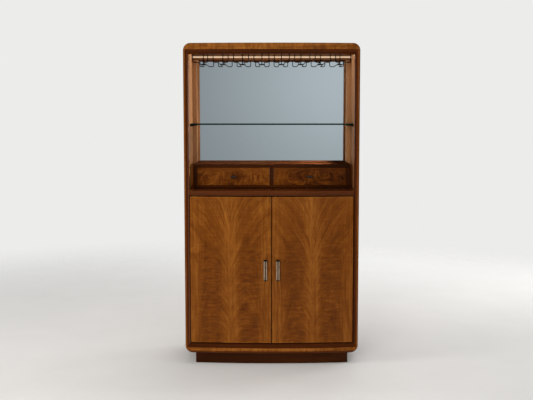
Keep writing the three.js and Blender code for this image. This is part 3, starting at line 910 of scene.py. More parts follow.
@dataclass(frozen=True)
class SwirlVeneer:
    """Figured drawer veneer: grain lines that curl round soft eyes, with dark clouds."""

    name: str
    dark: tuple
    middle: tuple
    light: tuple
    middle_x: float
    fall: float
    eyes: tuple
    seed: float
    lean: float = 0.5
    curl: float = 0.05
    roughness: float = 0.36

    def build(self) -> Material:
        """Lays the nodes.

        The grain lines keep the sum of the logarithms of the distances from two eyes, plus
        a share of x and z, all warped. They ring each eye, pass round both, and run nearly
        straight far from them. Clouds darken them. The fall tilts the tone along x: painted
        shade, strongest on the right drawer, which it darkens towards its right side.

        Returns:
            The material.
        """
        recipe = Recipe(self.name)
        x, _, z = recipe.parts(recipe.place())
        place = recipe.vector(x + self.seed, 0.0, z + self.seed * 0.4)
        warp = recipe.noise(place, (9, 1, 9), detail=3, distortion=0.6) - 0.5
        slow = recipe.noise(place, (3.5, 1, 5)) - 0.5
        wobble = recipe.noise(place, (27, 1, 31), (2, 0, 5)) - 0.5
        bend = x * self.lean + z * 0.2 + warp * 0.06 + slow * 0.1
        nearest: Signal | float = 1.0
        for eye_x, eye_z in self.eyes:
            across = x - eye_x + warp * 0.05 + wobble * 0.02
            up = (z - eye_z) * 0.8 + slow * 0.05 - wobble * 0.016
            reach = (across * across + up * up).math("SQRT")
            bend = bend + (reach + 0.018).math("LOGARITHM", math.e) * self.curl
            nearest = reach.math("MINIMUM", nearest)
        lines = recipe.noise(recipe.vector(bend * 60.0, self.seed, z * 4.0), detail=3, rough=0.6)
        fine = recipe.noise(recipe.vector(bend * 150.0, 0.0, z * 12.0), rough=0.6)
        ripple = recipe.noise(recipe.vector(x * 14.0, 0.0, (z + warp * 0.06) * 75.0))
        cloud = recipe.noise(place, (9, 1, 12), (3, 0, 1), detail=3, rough=0.6)
        patch = recipe.noise(place, (26, 1, 24), (1, 0, 4), rough=0.6)
        pores = recipe.noise(place, (900, 1, 120), detail=1).between(0.6, 0.72)
        tone = weighed(0.555, (lines, 0.75), (fine, 1.4), (ripple, 0.65), (cloud, 0.85),
                       # Painted shade: the fall tilts the tone along x across the front.
                       (patch, 0.25)) - (x - self.middle_x) * self.fall
        tone = tone - nearest.between(0.016, 0.003) * 0.12 - pores * 0.12
        stops = ((0.05, self.dark), (0.5, self.middle), (0.95, self.light))
        return recipe.finish({
            "Base Color": recipe.ramp(tone, stops),
            "Roughness": self.roughness + (lines - 0.5) * 0.1,
            "Specular IOR Level": 0.07,
            "Normal": recipe.bump(fine, 0.15),
        })


@dataclass(frozen=True)
class WornMetal:
    """Metal with a soft brushed or cast surface and uneven tarnish."""

    name: str
    colour: tuple
    tarnish: tuple
    roughness: float
    brushed: Grain = Grain.UP

    def build(self) -> Material:
        """Lays the nodes: patches of tarnish and fine scratches change colour and gloss.

        Returns:
            The material.
        """
        recipe = Recipe(self.name)
        place = recipe.place()
        scratches = recipe.noise(place, self.brushed.stretch(900.0, 25.0), detail=3, rough=0.6)
        patches = recipe.noise(place, (60, 60, 60), detail=4, rough=0.65)
        share = weighed(patches.between(0.35, 0.7) * 0.6, (scratches, 0.5)).math("MAXIMUM", 0.0)
        return recipe.finish({
            "Base Color": recipe.mix(share, self.colour, self.tarnish),
            "Metallic": 1.0,
            "Roughness": weighed(self.roughness, (patches, 0.18), (scratches, 0.12)),
            "Normal": recipe.bump(scratches * 0.5 + patches * 0.5, 0.12),
        })


@dataclass(frozen=True)
class SilveredGlass:
    """Plate mirror, a little smoky, with the faintest unevenness."""

    name: str = "mirror_silvered"
    colour: tuple = (0.9, 0.92, 0.925, 1.0)
    veil: tuple = (0.84, 0.865, 0.87, 1.0)

    def build(self) -> Material:
        """Lays the nodes: a soft cloud moves the tint between two close colours.

        Returns:
            The material.
        """
        recipe = Recipe(self.name)
        place = recipe.place()
        cloud = recipe.noise(place, (1.6, 1, 1.3))
        dust = recipe.noise(place, (18, 18, 18), detail=3)
        return recipe.finish({
            "Base Color": recipe.mix(cloud, self.veil, self.colour),
            "Metallic": 1.0,
            "Roughness": 0.012 + dust * 0.02,
        })


@dataclass(frozen=True)
class ShelfGlass:
    """Clear float glass of the shelf's two faces."""

    name: str = "shelf_float_glass"
    colour: tuple = (0.9, 0.97, 0.945, 1.0)

    def build(self) -> Material:
        """Lays the nodes: a breath of uneven gloss over clear glass.

        Returns:
            The material.
        """
        recipe = Recipe(self.name)
        haze = recipe.noise(recipe.place(), (9, 9, 9), detail=3)
        return recipe.finish({
            "Base Color": self.colour, "Roughness": 0.004 + haze * 0.02, "IOR": 1.5,
            "Transmission Weight": 1.0,
        })


@dataclass(frozen=True)
class GroundEdge:
    """Ground and polished edge of the glass: deep green, as one looks along the sheet."""

    name: str = "shelf_ground_edge"
    dark: tuple = linear(0, 26, 22)
    light: tuple = linear(3, 46, 40)

    def build(self) -> Material:
        """Lays the nodes: fine grinding lines along the edge over a deep green.

        Returns:
            The material.
        """
        recipe = Recipe(self.name)
        place = recipe.place()
        lines = recipe.noise(place, (30, 30, 1400))
        depth = recipe.noise(place, (6, 6, 120))
        share = weighed(depth.between(0.3, 0.7) * 0.6, (lines, 0.5)).math("MAXIMUM", 0.0)
        return recipe.finish({
            "Base Color": recipe.mix(share, self.dark, self.light),
            "Roughness": 0.16 + lines * 0.12,
            "Specular IOR Level": 0.06,
        })


@dataclass(frozen=True)
class StripGlow:
    """Milky cover of the strip light, a little brighter over each small lamp."""

    name: str = "strip_glow"
    colour: tuple = (0.72, 0.5, 0.325, 1.0)
    unlit: tuple = (0.03, 0.012, 0.003, 1.0)
    cover: tuple = (0.17, 0.14, 0.11, 1.0)
    wood: tuple = linear(70, 38, 14)
    pitch: float = 0.0333
    top_z: float = 2.0095

    def build(self) -> Material:
        """Lays the nodes: a wave along x lifts the glow over each lamp; the top fades to wood.

        Returns:
            The material.
        """
        recipe = Recipe(self.name)
        place = recipe.place()
        x, _, z = recipe.parts(place)
        wave = (x * (2 * math.pi / self.pitch)).math("COSINE") * 0.5 + 0.5
        uneven = recipe.noise(place, (14, 1, 1))
        core = z.between(self.top_z, self.top_z - 0.008)
        level = weighed(0.86 + wave * 0.07, (uneven, 0.3)) * core
        return recipe.finish({
            "Base Color": recipe.mix(core, self.wood, self.cover),
            "Emission Color": recipe.mix(level, self.unlit, self.colour),
            "Emission Strength": 1.0,
            "Roughness": 0.45,
        })


CASE = tones((66, 29, 2), (103, 56, 11), (140, 86, 32))
PLINTH = tones((26, 8, 0), (43, 18, 3), (66, 31, 9))
INSIDE = tones((120, 76, 44), (158, 110, 70), (186, 138, 94))
FLAT = {"streaks": 0.6, "ripple": 0.12, "roughness": 0.22, "specular": 0.055, "coat": 0.0}
MATT = {"streaks": 0.7, "ripple": 0.3, "roughness": 0.5, "specular": 0.0, "coat": 0.0}
PLAIN = {"streaks": 0.7, "ripple": 0.15, "roughness": 0.45, "specular": 0.3, "coat": 0.0}


def wood(
    name: str, grain: Grain, seed: float, tone: dict, gloss: dict, **further: float | tuple
) -> Material:
    """A field of Finishes whose straight veneer is built once.

    Args:
        name: the veneer's name.
        grain: the axis of its grain.
        seed: its own place in the pattern.
        tone: its three tones.
        gloss: its streaks, ripple and gloss.
        further: other fields of the veneer.

    Returns:
        The field.
    """
    veneer = StraightVeneer(name, **tone, **gloss, grain=grain, seed=seed, **further)
    return field(default_factory=veneer.build)


def metal(name: str, colour: tuple, tarnish: tuple, *further: float | Grain) -> Material:
    """A field of Finishes whose worn metal is built once, from colours on screen."""
    return field(default_factory=WornMetal(name, linear(*colour), linear(*tarnish), *further).build)


@dataclass
class Finishes:
    """Every finish that several pieces share, each built once."""

    # Its foot darkening is painted shade on the bottom board's lower rounding.
    case_across: Material = wood(
        "case_veneer_across", Grain.ACROSS, 2.0, CASE, {}, ripple=0.85, foot_z=0.082)
    case_up: Material = wood("case_veneer_up", Grain.UP, 5.0, CASE, {}, ripple=0.3)
    dark_across: Material = wood(
        "dark_wood_across", Grain.ACROSS, 1.0, tones((37, 14, 2), (62, 27, 6), (91, 43, 14)), FLAT)
    dark_up: Material = wood(
        "dark_wood_up", Grain.UP, 3.0, tones((43, 17, 2), (72, 32, 8), (102, 50, 18)), FLAT)
    # Painted highlight: a paler copy of the frame wood on the left stile's lip, where the key light
    # would glint.
    lip_up: Material = wood(
        "moulding_lip_up", Grain.UP, 15.0,
        tones((62, 34, 22), (90, 54, 36), (116, 74, 52)), FLAT)
    # Painted shade: a darker copy of the lip wood for the right stile.
    lip_shade: Material = wood(
        "moulding_lip_shade", Grain.UP, 16.0,
        tones((34, 13, 4), (58, 26, 9), (84, 42, 19)), FLAT)
    nose_across: Material = wood(
        "ledge_wood_across", Grain.ACROSS, 11.0,
        tones((50, 22, 8), (80, 40, 17), (112, 62, 31)), FLAT)
    # Painted shade: these boards are painted darker towards the right.
    unit_across: Material = wood(
        "unit_wood_across", Grain.ACROSS, 7.0,
        tones((34, 13, 2), (62, 27, 5), (86, 42, 13)), FLAT, fade=(0.1, 0.4, 0.36))
    unit_up: Material = wood(
        "unit_wood_up", Grain.UP, 8.0, tones((24, 8, 0), (44, 18, 3), (66, 31, 9)), FLAT)
    plinth_across: Material = wood("plinth_wood_across", Grain.ACROSS, 12.0, PLINTH, FLAT)
    plinth_along: Material = wood("plinth_wood_along", Grain.BACK, 13.0, PLINTH, FLAT)
    # Painted light: a paler copy of the unit wood for the top face, as if lit from above, painted
    # darker towards the right.
    unit_level: Material = wood(
        "unit_wood_level", Grain.ACROSS, 10.0,
        tones((70, 36, 16), (118, 74, 48), (142, 94, 64)), MATT, fade=(-0.22, 0.14, 0.36))
    inside_across: Material = wood("inside_wood_across", Grain.ACROSS, 4.0, INSIDE, PLAIN)
    inside_up: Material = wood("inside_wood_up", Grain.UP, 6.0, INSIDE, PLAIN)
    bay_up: Material = wood(
        "bay_veneer_up", Grain.UP, 9.0,
        tones((124, 78, 44), (152, 108, 70), (176, 132, 90)), PLAIN)
    # Painted light: paler, warmer tones stand for the strip light's glow on the rail.
    rail_across: Material = wood(
        "light_rail_veneer", Grain.ACROSS, 14.0,
        tones((92, 52, 20), (122, 76, 34), (150, 100, 52)), PLAIN)
    bronze: Material = metal("dark_bronze", (44, 40, 36), (22, 19, 16), 0.42)
    knob: Material = metal("knob_bronze", (112, 102, 92), (62, 55, 48), 0.38)
    pewter: Material = metal("pewter_face", (200, 172, 146), (132, 108, 88), 0.3)
    brass: Material = metal("hinge_brass", (96, 76, 46), (48, 36, 22), 0.4, Grain.ACROSS)
    steel: Material = metal("screw_steel", (150, 148, 144), (96, 92, 88), 0.35)
    mirror: Material = field(default_factory=SilveredGlass().build)
    glow: Material = field(default_factory=StripGlow().build)


# Sub-assemblies


@dataclass
class Case:
    """Outer case: top, bottom and sides round the bay and the cupboard."""

    finishes: Finishes
    half: float = 559.0
    low: float = 75.0
    high: float = 2063.0
    floor: float = 110.0
    ceiling: float = 2023.0
    corner: float = 46.0
    round_edge: float = 9.0
    back_ease: float = 1.0
    inner_edge: float = 3.0
    inner_half: float = 541.0
    rebate_half: float = 547.0
    rebate_y: float = 25.8
    rebate_ease: float = 0.6
    run_in: float = 6.0
    arc_steps: int = 10
    straight_steps: int = 26
    round_steps: int = 6

    def outer_row(self, inset: float, depth: float, outer_z: float, seam_z: float) -> np.ndarray:
        """One line of a top or bottom board, from seam to seam over its long edge.

        The corner is an arc drawn in by the inset; it starts where it meets the seam's
        height, and the straight part runs between the two arcs.

        Args:
            inset: how far the line lies inside the outline.
            depth: depth behind the bow, or minus one for the back edge.
            outer_z: height of the board's outer face.
            seam_z: height where the board meets the case sides.

        Returns:
            The points of the line.
        """
        sign = math.copysign(1.0, outer_z - seam_z)
        centre_x, centre_z = self.half - self.corner, outer_z - sign * self.corner
        radius = self.corner - inset
        start = math.asin(sign * (seam_z - centre_z) / radius)
        angle = np.linspace(start, math.pi / 2, self.arc_steps + 1)
        arc_x = centre_x + radius * np.cos(angle)
        arc_z = centre_z + sign * radius * np.sin(angle)
        middle = np.linspace(-centre_x, centre_x, self.straight_steps + 1)[1:-1]
        x = np.concatenate([-arc_x, middle, arc_x[::-1]])
        z = np.concatenate([arc_z, np.full(len(middle), outer_z - sign * inset), arc_z[::-1]])
        y = np.full(len(x), CASE_DEPTH) if depth < 0 else BOW.y(x, depth)
        return np.stack([x, y, z], -1)

    def long_board(self, outer_z: float, seam_z: float) -> Shell:
        """A top or bottom board: rounded outside, eased where it looks into the case.

        The inner easing runs in to nothing at both ends by a smooth step of x.

        Args:
            outer_z: height of its outer face.
            seam_z: height where it meets the case sides.

        Returns:
            The closed shell.
        """
        sign = math.copysign(1.0, outer_z - seam_z)
        rows = [self.outer_row(self.back_ease, -1.0, outer_z, seam_z),
                self.outer_row(0.0, -1.0, outer_z, seam_z)]
        rows[1][:, 1] -= self.back_ease
        rows += [self.outer_row(inset, depth, outer_z, seam_z)
                 for inset, depth in quarter_round(self.round_edge, self.round_steps)]
        x = rows[-1][:, 0]
        share = np.clip((np.abs(x).max() - np.abs(x)) / self.run_in, 0, 1)
        ease = self.inner_edge * share * share * (3 - 2 * share)
        rows += [np.stack([x, BOW.y(x, inset), seam_z + sign * depth], -1)
                 for inset, depth in quarter_round(ease, 3)]
        rows.append(np.stack([x, np.full(len(x), CASE_DEPTH), np.full(len(x), seam_z)], -1))
        return loft(np.array(rows).transpose(1, 0, 2))

    def side_row(self, inset: float, y: float | None, depth: float = 0.0) -> np.ndarray:
        """One upright line of a side board's outer face, from its low to its high seam.

        Args:
            inset: how far the line lies inside the outline.
            y: its place from front to back, or None for a place behind the bow.
            depth: depth behind the bow.

        Returns:
            The points of the line.
        """
        centre_x, radius = self.half - self.corner, self.corner - inset
        low_centre, high_centre = self.low + self.corner, self.high - self.corner
        low = np.linspace(math.asin((low_centre - self.floor) / radius), 0, 5)
        high = np.linspace(0, math.asin((self.ceiling - high_centre) / radius), 5)
        middle = np.linspace(low_centre, high_centre, 12)[1:-1]
        x = np.concatenate([
            centre_x + radius * np.cos(low), np.full(len(middle), centre_x + radius),
            centre_x + radius * np.cos(high)])
        z = np.concatenate([
            low_centre - radius * np.sin(low), middle, high_centre + radius * np.sin(high)])
        y_row = BOW.y(x, depth) if y is None else np.full(len(x), y)
        return np.stack([x, y_row, z], -1)

    def side_board(self, side: int) -> Shell:
        """A side board, rebated inside its front edge for the frame.

        Args:
            side: -1 for left, 1 for right.

        Returns:
            The closed shell.
        """
        rows = [self.side_row(self.back_ease, CASE_DEPTH),
                self.side_row(0.0, CASE_DEPTH - self.back_ease)]
        rows += [self.side_row(inset, None, depth)
                 for inset, depth in quarter_round(self.round_edge, self.round_steps)]
        z = rows[-1][:, 2]
        eased = self.rebate_half + self.rebate_ease
        spots = [
            (eased, BOW.y(eased, 0)), (self.rebate_half, BOW.y(self.rebate_half, self.rebate_ease)),
            (self.rebate_half, self.rebate_y), (self.inner_half, self.rebate_y),
            (self.inner_half, CASE_DEPTH),
        ]
        rows += [np.stack([np.full(len(z), x), np.full(len(z), y), z], -1) for x, y in spots]
        rings = np.array(rows).transpose(1, 0, 2)
        rings[..., 0] *= side
        return loft(rings)

    def build(self) -> None:
        """Makes the four boards of the case."""
        for name, outer_z, seam_z in (("top", self.high, self.ceiling),
                                      ("bottom", self.low, self.floor)):
            make_piece(f"case_{name}", self.long_board(outer_z, seam_z), self.finishes.case_across,
                       nodes=[f"{name}_panel"], sharp=40)
        inner = (self.inner_half + 0.3) * MM
        for name, side in SIDES:
            piece = make_piece(f"case_side_{name}", self.side_board(side), self.finishes.case_up,
                               nodes=[f"side_panel_{name}"], sharp=40)
            refinish(piece, self.finishes.bay_up,
                     lambda normal, centre: np.abs(centre[:, 0]) < inner)


@dataclass
class FrontFrame:
    """Dark frame with a hollow moulding, mitred at its four corners."""

    finishes: Finishes
    outer_half: float = 547.0
    inner_half: float = 527.0
    floor: float = 110.0
    ceiling: float = 2023.0
    height: float = 30.0
    recess: float = 3.0
    back: float = 27.0
    stile_back_y: float = 25.8
    cove: float = 6.5
    lean: float = 1.5
    lip: float = 0.07
    corner: float = 0.02
    ease: float = 0.4
    joint: float = 0.3
    # Share of the stile beside the opening that takes the painted highlight or painted shade.
    pale_share: float = 0.42
    cove_steps: int = 12
    rail_steps: int = 26
    stile_steps: int = 12

    def profile(self) -> np.ndarray:
        """The moulding's section.

        The hollow is half a sine between two flat lips, with its deepest place moved
        towards the opening by a power of the way across.

        Returns:
            Share across and depth behind the bow, point by point round the section.
        """
        inner = np.linspace(0, 1, self.cove_steps + 1)
        share = self.lip + (1 - 2 * self.lip) * inner
        depth = self.recess + self.cove * np.sin(math.pi * inner ** self.lean)
        eased = self.recess + self.ease
        return np.concatenate([
            [[self.corner, self.recess]], np.stack([share, depth], -1),
            [[1 - self.corner, self.recess], [1.0, eased], [1.0, self.back], [0.0, self.back],
             [0.0, eased]]])

    def rail(self, outer_z: float, inner_z: float) -> Shell:
        """The moulding carried along the bow; its ends run in to the mitre.

        Args:
            outer_z: height of its edge at the case.
            inner_z: height of its edge at the opening.

        Returns:
            The closed shell.
        """
        share, depth = self.profile().T
        half = self.outer_half - self.joint + (self.inner_half - self.outer_half) * share
        x = np.linspace(-1, 1, self.rail_steps + 1)[:, None] * half[None]
        z = np.broadcast_to(outer_z + (inner_z - outer_z) * share, x.shape)
        return loft(np.stack([x, BOW.y(x, depth[None]), z], -1))

    def stile(self, side: int) -> Shell:
        """The moulding carried up; its ends run in to the mitre.

        Args:
            side: -1 for left, 1 for right.

        Returns:
            The closed shell.
        """
        share, depth = self.profile().T
        x = self.outer_half + (self.inner_half - self.outer_half) * share
        low = self.floor + self.height * share
        high = self.ceiling - self.height * share
        z = low + (high - low) * np.linspace(0, 1, self.stile_steps + 1)[:, None]
        y = np.minimum(BOW.y(x, depth), self.stile_back_y)
        return loft(np.stack([np.broadcast_to(side * x, z.shape),
                              np.broadcast_to(y, z.shape), z], -1))

    def build(self) -> None:
        """Makes two rails and two stiles; the left lip beside the opening takes a painted highlight
        and the right lip painted shade.
        """
        for name, outer, inner in (("top", self.ceiling, self.ceiling - self.height),
                                   ("bottom", self.floor, self.floor + self.height)):
            make_piece(f"frame_{name}", self.rail(outer, inner), self.finishes.dark_across,
                       nodes=[f"frame_rail_{name}"], sharp=24)
        edge = (self.inner_half + (self.outer_half - self.inner_half) * self.pale_share) * MM
        # Painted light: the left lip takes the painted highlight, the right lip the painted shade.
        for (name, side), lip in zip(SIDES, (self.finishes.lip_up, self.finishes.lip_shade)):
            stile = make_piece(f"frame_{name}", self.stile(side), self.finishes.dark_up,
                               nodes=[f"frame_stile_{name}"], sharp=24)
            refinish(stile, self.finishes.bay_up, lambda normal, centre: normal[:, 1] > 0.9)
            refinish(stile, lip, lambda normal, centre: (
                (np.abs(centre[:, 0]) < edge) & (side * normal[:, 0] > -0.1) & (normal[:, 1] < 0)))


@dataclass
class Plinth:
    """Recessed base: a bowed front board, two side boards and a back board."""

    finishes: Finishes
    half: float = 494.0
    height: float = 75.0
    front_depth: float = 40.0
    thickness: float = 19.0
    back_y: float = 433.0
    joint: float = 1.0

    def build(self) -> None:
        """Makes the four boards."""
        behind, inner_y = self.front_depth + self.thickness, self.back_y - self.thickness
        inner_half = self.half - self.thickness
        wide, height = (-self.half, self.half), (0, self.height)
        boards = {
            "front": eased_board(wide, (self.front_depth, behind), height, 1.2,
                                 (26, 1, 2)).placed(BOW.bend),
            "back": eased_board(wide, (inner_y, self.back_y), height),
        }
        for name, board in boards.items():
            make_piece(f"plinth_{name}_board", board, self.finishes.plinth_across,
                       nodes=[f"plinth_{name}"])
        start = float(BOW.y(inner_half, behind)) + self.joint
        for name, side in SIDES:
            board = eased_board((side * inner_half, side * self.half), (start, inner_y), height,
                                1.0)
            make_piece(f"plinth_side_board_{name}", board, self.finishes.plinth_along,
                       nodes=[f"plinth_side_{name}"])


@dataclass
class Ledge:
    """Serving ledge with a bowed, rounded nose, let in between the stiles."""

    finishes: Finishes
    half: float = 526.7
    inner_half: float = 541.0
    low: float = 1098.0
    high: float = 1129.0
    recess: float = 2.0
    nose: float = 7.0
    shoulder_y: float = 26.1
    back_y: float = 445.0
    nose_steps: int = 5
    steps: int = 28

    def section(self, x: float, shoulder: bool) -> np.ndarray:
        """The ledge cut at x: a quarter round above and below the nose, straight behind.

        Args:
            x: where it is cut.
            shoulder: True where it stands back behind the frame's stiles.

        Returns:
            The points of the section.
        """
        turn = np.linspace(0, math.pi / 2, self.nose_steps + 1)
        top = np.stack([self.recess + self.nose * (1 - np.sin(turn)),
                        self.high - self.nose * (1 - np.cos(turn))], -1)
        low = np.stack([top[::-1, 0], self.low + self.high - top[::-1, 1]], -1)
        depth, z = np.concatenate([top[::-1], low[::-1]]).T
        y = BOW.y(x, depth)
        if shoulder:
            y = np.maximum(y, self.shoulder_y)
        ring = np.stack([np.full(len(z), x), y, z], -1)
        back = [[x, self.back_y, self.low], [x, self.back_y, self.high]]
        return np.concatenate([ring, back])

    def build(self) -> None:
        """Makes the ledge as sections carried across."""
        between = np.linspace(-self.half, self.half, self.steps + 1)
        rings = [self.section(x, True) for x in (-self.inner_half, -self.half)]
        rings += [self.section(x, False) for x in between]
        rings += [self.section(x, True) for x in (self.half, self.inner_half)]
        make_piece("serving_ledge", loft(np.array(rings)), self.finishes.nose_across,
                   nodes=["ledge"])


@dataclass
class BackAndMirror:
    """Back panels, the mirror, the wood beside it and the strip light above it."""

    finishes: Finishes
    inner_half: float = 541.0
    back_y: float = 445.0
    panel: float = 12.0
    floor: float = 110.0
    ledge_low: float = 1098.0
    mirror_half: float = 513.0
    mirror_y: float = 440.0
    mirror_low: float = 1129.0
    mirror_high: float = 1981.0
    stile_lift: float = 0.4
    ceiling: float = 2023.0
    rail_y: float = 428.0
    rail_ease: float = 0.8
    glow_low: float = 1994.0
    glow_high: float = 2013.0
    glow_depth: float = 6.0
    glow_swell: float = 2.0
    screw_half: float = 526.0
    screw_inset: float = 14.0
    screw_count: int = 6
    screw_head: tuple = (
        (0, 0), (3.4, 0), (3.4, 0.9), (2.6, 1.7), (1.4, 2.1), (1.2, 1.2), (0, 1.0))

    def light_rail(self) -> Shell:
        """The rail's section, with a channel for the light, carried across.

        Returns:
            The closed shell.
        """
        behind, ease = self.rail_y + self.glow_depth, self.rail_ease
        return bar_across(np.array([
            [self.rail_y + ease, self.mirror_high], [self.back_y, self.mirror_high],
            [self.back_y, self.ceiling], [self.rail_y, self.ceiling],
            [self.rail_y, self.glow_high], [behind, self.glow_high],
            [behind, self.glow_low], [self.rail_y, self.glow_low],
            [self.rail_y, self.mirror_high + ease],
        ]), self.inner_half)

    def cover(self) -> Shell:
        """The light's cover: a bar whose front swells by a sine over its height.

        Returns:
            The closed shell.
        """
        turn = np.linspace(0, math.pi, 9)
        middle, half = (self.glow_low + self.glow_high) / 2, (self.glow_high - self.glow_low) / 2
        y = self.rail_y + self.glow_swell - self.glow_swell * np.sin(turn)
        front = np.stack([y, middle - half * np.cos(turn)], -1)
        behind = self.rail_y + self.glow_depth
        back = [[behind, self.glow_high], [behind, self.glow_low]]
        return bar_across(np.concatenate([front, back]), self.inner_half)

    def build(self) -> None:
        """Makes panels, mirror, stiles, rail, cover and the screws of the back."""
        finishes, level = self.finishes, (self.mirror_low, self.mirror_high)
        for name, low, high in (("lower", self.floor, self.ledge_low),
                                ("upper", self.mirror_low, self.ceiling)):
            board = eased_board((-self.inner_half, self.inner_half),
                                (self.back_y, self.back_y + self.panel), (low, high), 1.0)
            make_piece(f"back_board_{name}", board, finishes.inside_up,
                       nodes=[f"back_panel_{name}"])
            make_piece(f"back_screws_{name}", self.screws(low, high), finishes.steel)
        mirror = eased_board((-self.mirror_half, self.mirror_half), (self.mirror_y, self.back_y),
                             level, 0.4, steps=1)
        make_piece("mirror_plate", mirror, finishes.mirror, nodes=["mirror"])
        for name, side in SIDES:
            stile = eased_board((side * self.mirror_half, side * self.inner_half),
                                (self.mirror_y - self.stile_lift, self.back_y), level, 0.4)
            make_piece(f"mirror_frame_{name}", stile, finishes.bay_up,
                       nodes=[f"mirror_stile_{name}"])
        # The rail's paler veneer is painted glow from the strip light.
        make_piece("light_rail_board", self.light_rail(), finishes.rail_across,
                   nodes=["light_rail"])
        make_piece("light_cover", self.cover(), finishes.glow,
                   nodes=["light_diffuser"])

    def screws(self, low: float, high: float) -> Shell:
        """Round-headed screws along the edges of a back panel.

        Args:
            low: the panel's foot.
            high: its top.

        Returns:
            All its screws.
        """
        low, high = low + self.screw_inset, high - self.screw_inset
        columns = np.linspace(-self.screw_half, self.screw_half, self.screw_count)
        rows = np.linspace(low, high, self.screw_count)[1:-1]
        spots = [(x, z) for x in columns for z in (low, high)]
        spots += [(x, z) for z in rows for x in (-self.screw_half, self.screw_half)]
        y = self.back_y + self.panel
        return joined([turned(self.screw_head, (x, y, z), 1, 14) for x, z in spots])


@dataclass
class GlassShelf:
    """Glass shelf that lies on four collared pins."""

    finishes: Finishes
    half: float = 537.0
    front_y: float = 220.0
    back_y: float = 437.3
    low: float = 1544.0
    high: float = 1554.0
    pin_z: float = 1539.7
    pin_start: float = 540.7
    pin_ys: tuple = (234.0, 423.3)
    pin: tuple = ((0, 0), (7.4, 0), (8, 0.6), (8, 2.4), (7.4, 3), (4, 3), (4, 30.6), (3.4, 31.6),
                  (0, 32))

    def build(self) -> None:
        """Makes the shelf and its pins."""
        shelf = eased_board((-self.half, self.half), (self.front_y, self.back_y),
                            (self.low, self.high), 0.9, (4, 1, 1))
        plate = make_piece("glass_shelf_plate", shelf, ShelfGlass().build(),
                           nodes=["glass_shelf"])
        refinish(plate, GroundEdge().build(), lambda normal, centre: np.abs(normal[:, 2]) < 0.8)
        for name, side in SIDES:
            profile = [(radius, -side * place) for radius, place in self.pin]
            for end, y in zip(("front", "back"), self.pin_ys):
                pin = turned(profile, (side * self.pin_start, y, self.pin_z), 0, 20)
                make_piece(f"shelf_peg_{end}_{name}", pin, self.finishes.bronze,
                           nodes=[f"shelf_pin_{end}_{name}"])


@dataclass
class StemwareRack:
    """Eight channels of bent wire under the bay's ceiling."""

    finishes: Finishes
    count: int = 8
    pitch: float = 132.3
    wide: float = 48.8
    slot: float = 18.0
    front_y: float = 155.0
    back_y: float = 416.0
    rail_z: float = 1950.0
    top_z: float = 2022.7
    wire_top_z: float = 2021.7
    radius: float = 2.8
    bend: float = 9.0
    loop: float = 0.98
    hanger_step: float = 30.0
    foot: tuple = ((0, 0), (6.2, 0), (7, -0.6), (7, -1.4), (6.2, -2), (3.4, -2), (2.6, -3.4),
                   (0, -3.6))

    def channel(self, x: float) -> Shell:
        """One wire: down, in to the slot, back round its closed end and up again.

        Args:
            x: the middle of its slot.

        Returns:
            The wire, the hanger at its closed end and three round feet.
        """
        top, rail, front, back = self.wire_top_z, self.rail_z, self.front_y, self.back_y
        loop = self.slot * self.loop
        wire = rounded_route([
            (x - self.wide, front, top), (x - self.wide, front, rail, self.bend),
            (x - self.slot, front, rail, self.bend), (x - self.slot, back, rail, loop),
            (x + self.slot, back, rail, loop), (x + self.slot, front, rail, self.bend),
            (x + self.wide, front, rail, self.bend), (x + self.wide, front, top)])
        hanger = np.array([[x, back, rail], [x, back, rail + self.hanger_step], [x, back, top]])
        feet = [turned(self.foot, (foot_x, foot_y, self.top_z), 2, 20)
                for foot_x, foot_y in ((x - self.wide, front), (x + self.wide, front), (x, back))]
        return joined([tube(wire, self.radius), tube(hanger, self.radius), *feet])

    def build(self) -> None:
        """Makes the eight channels."""
        for index in range(self.count):
            x = (index - (self.count - 1) / 2) * self.pitch
            make_piece(f"rack_wire_{index + 1}", self.channel(x), self.finishes.bronze,
                       nodes=[f"stemware_wire_{index + 1}"], sharp=45,
                       weighted=False)


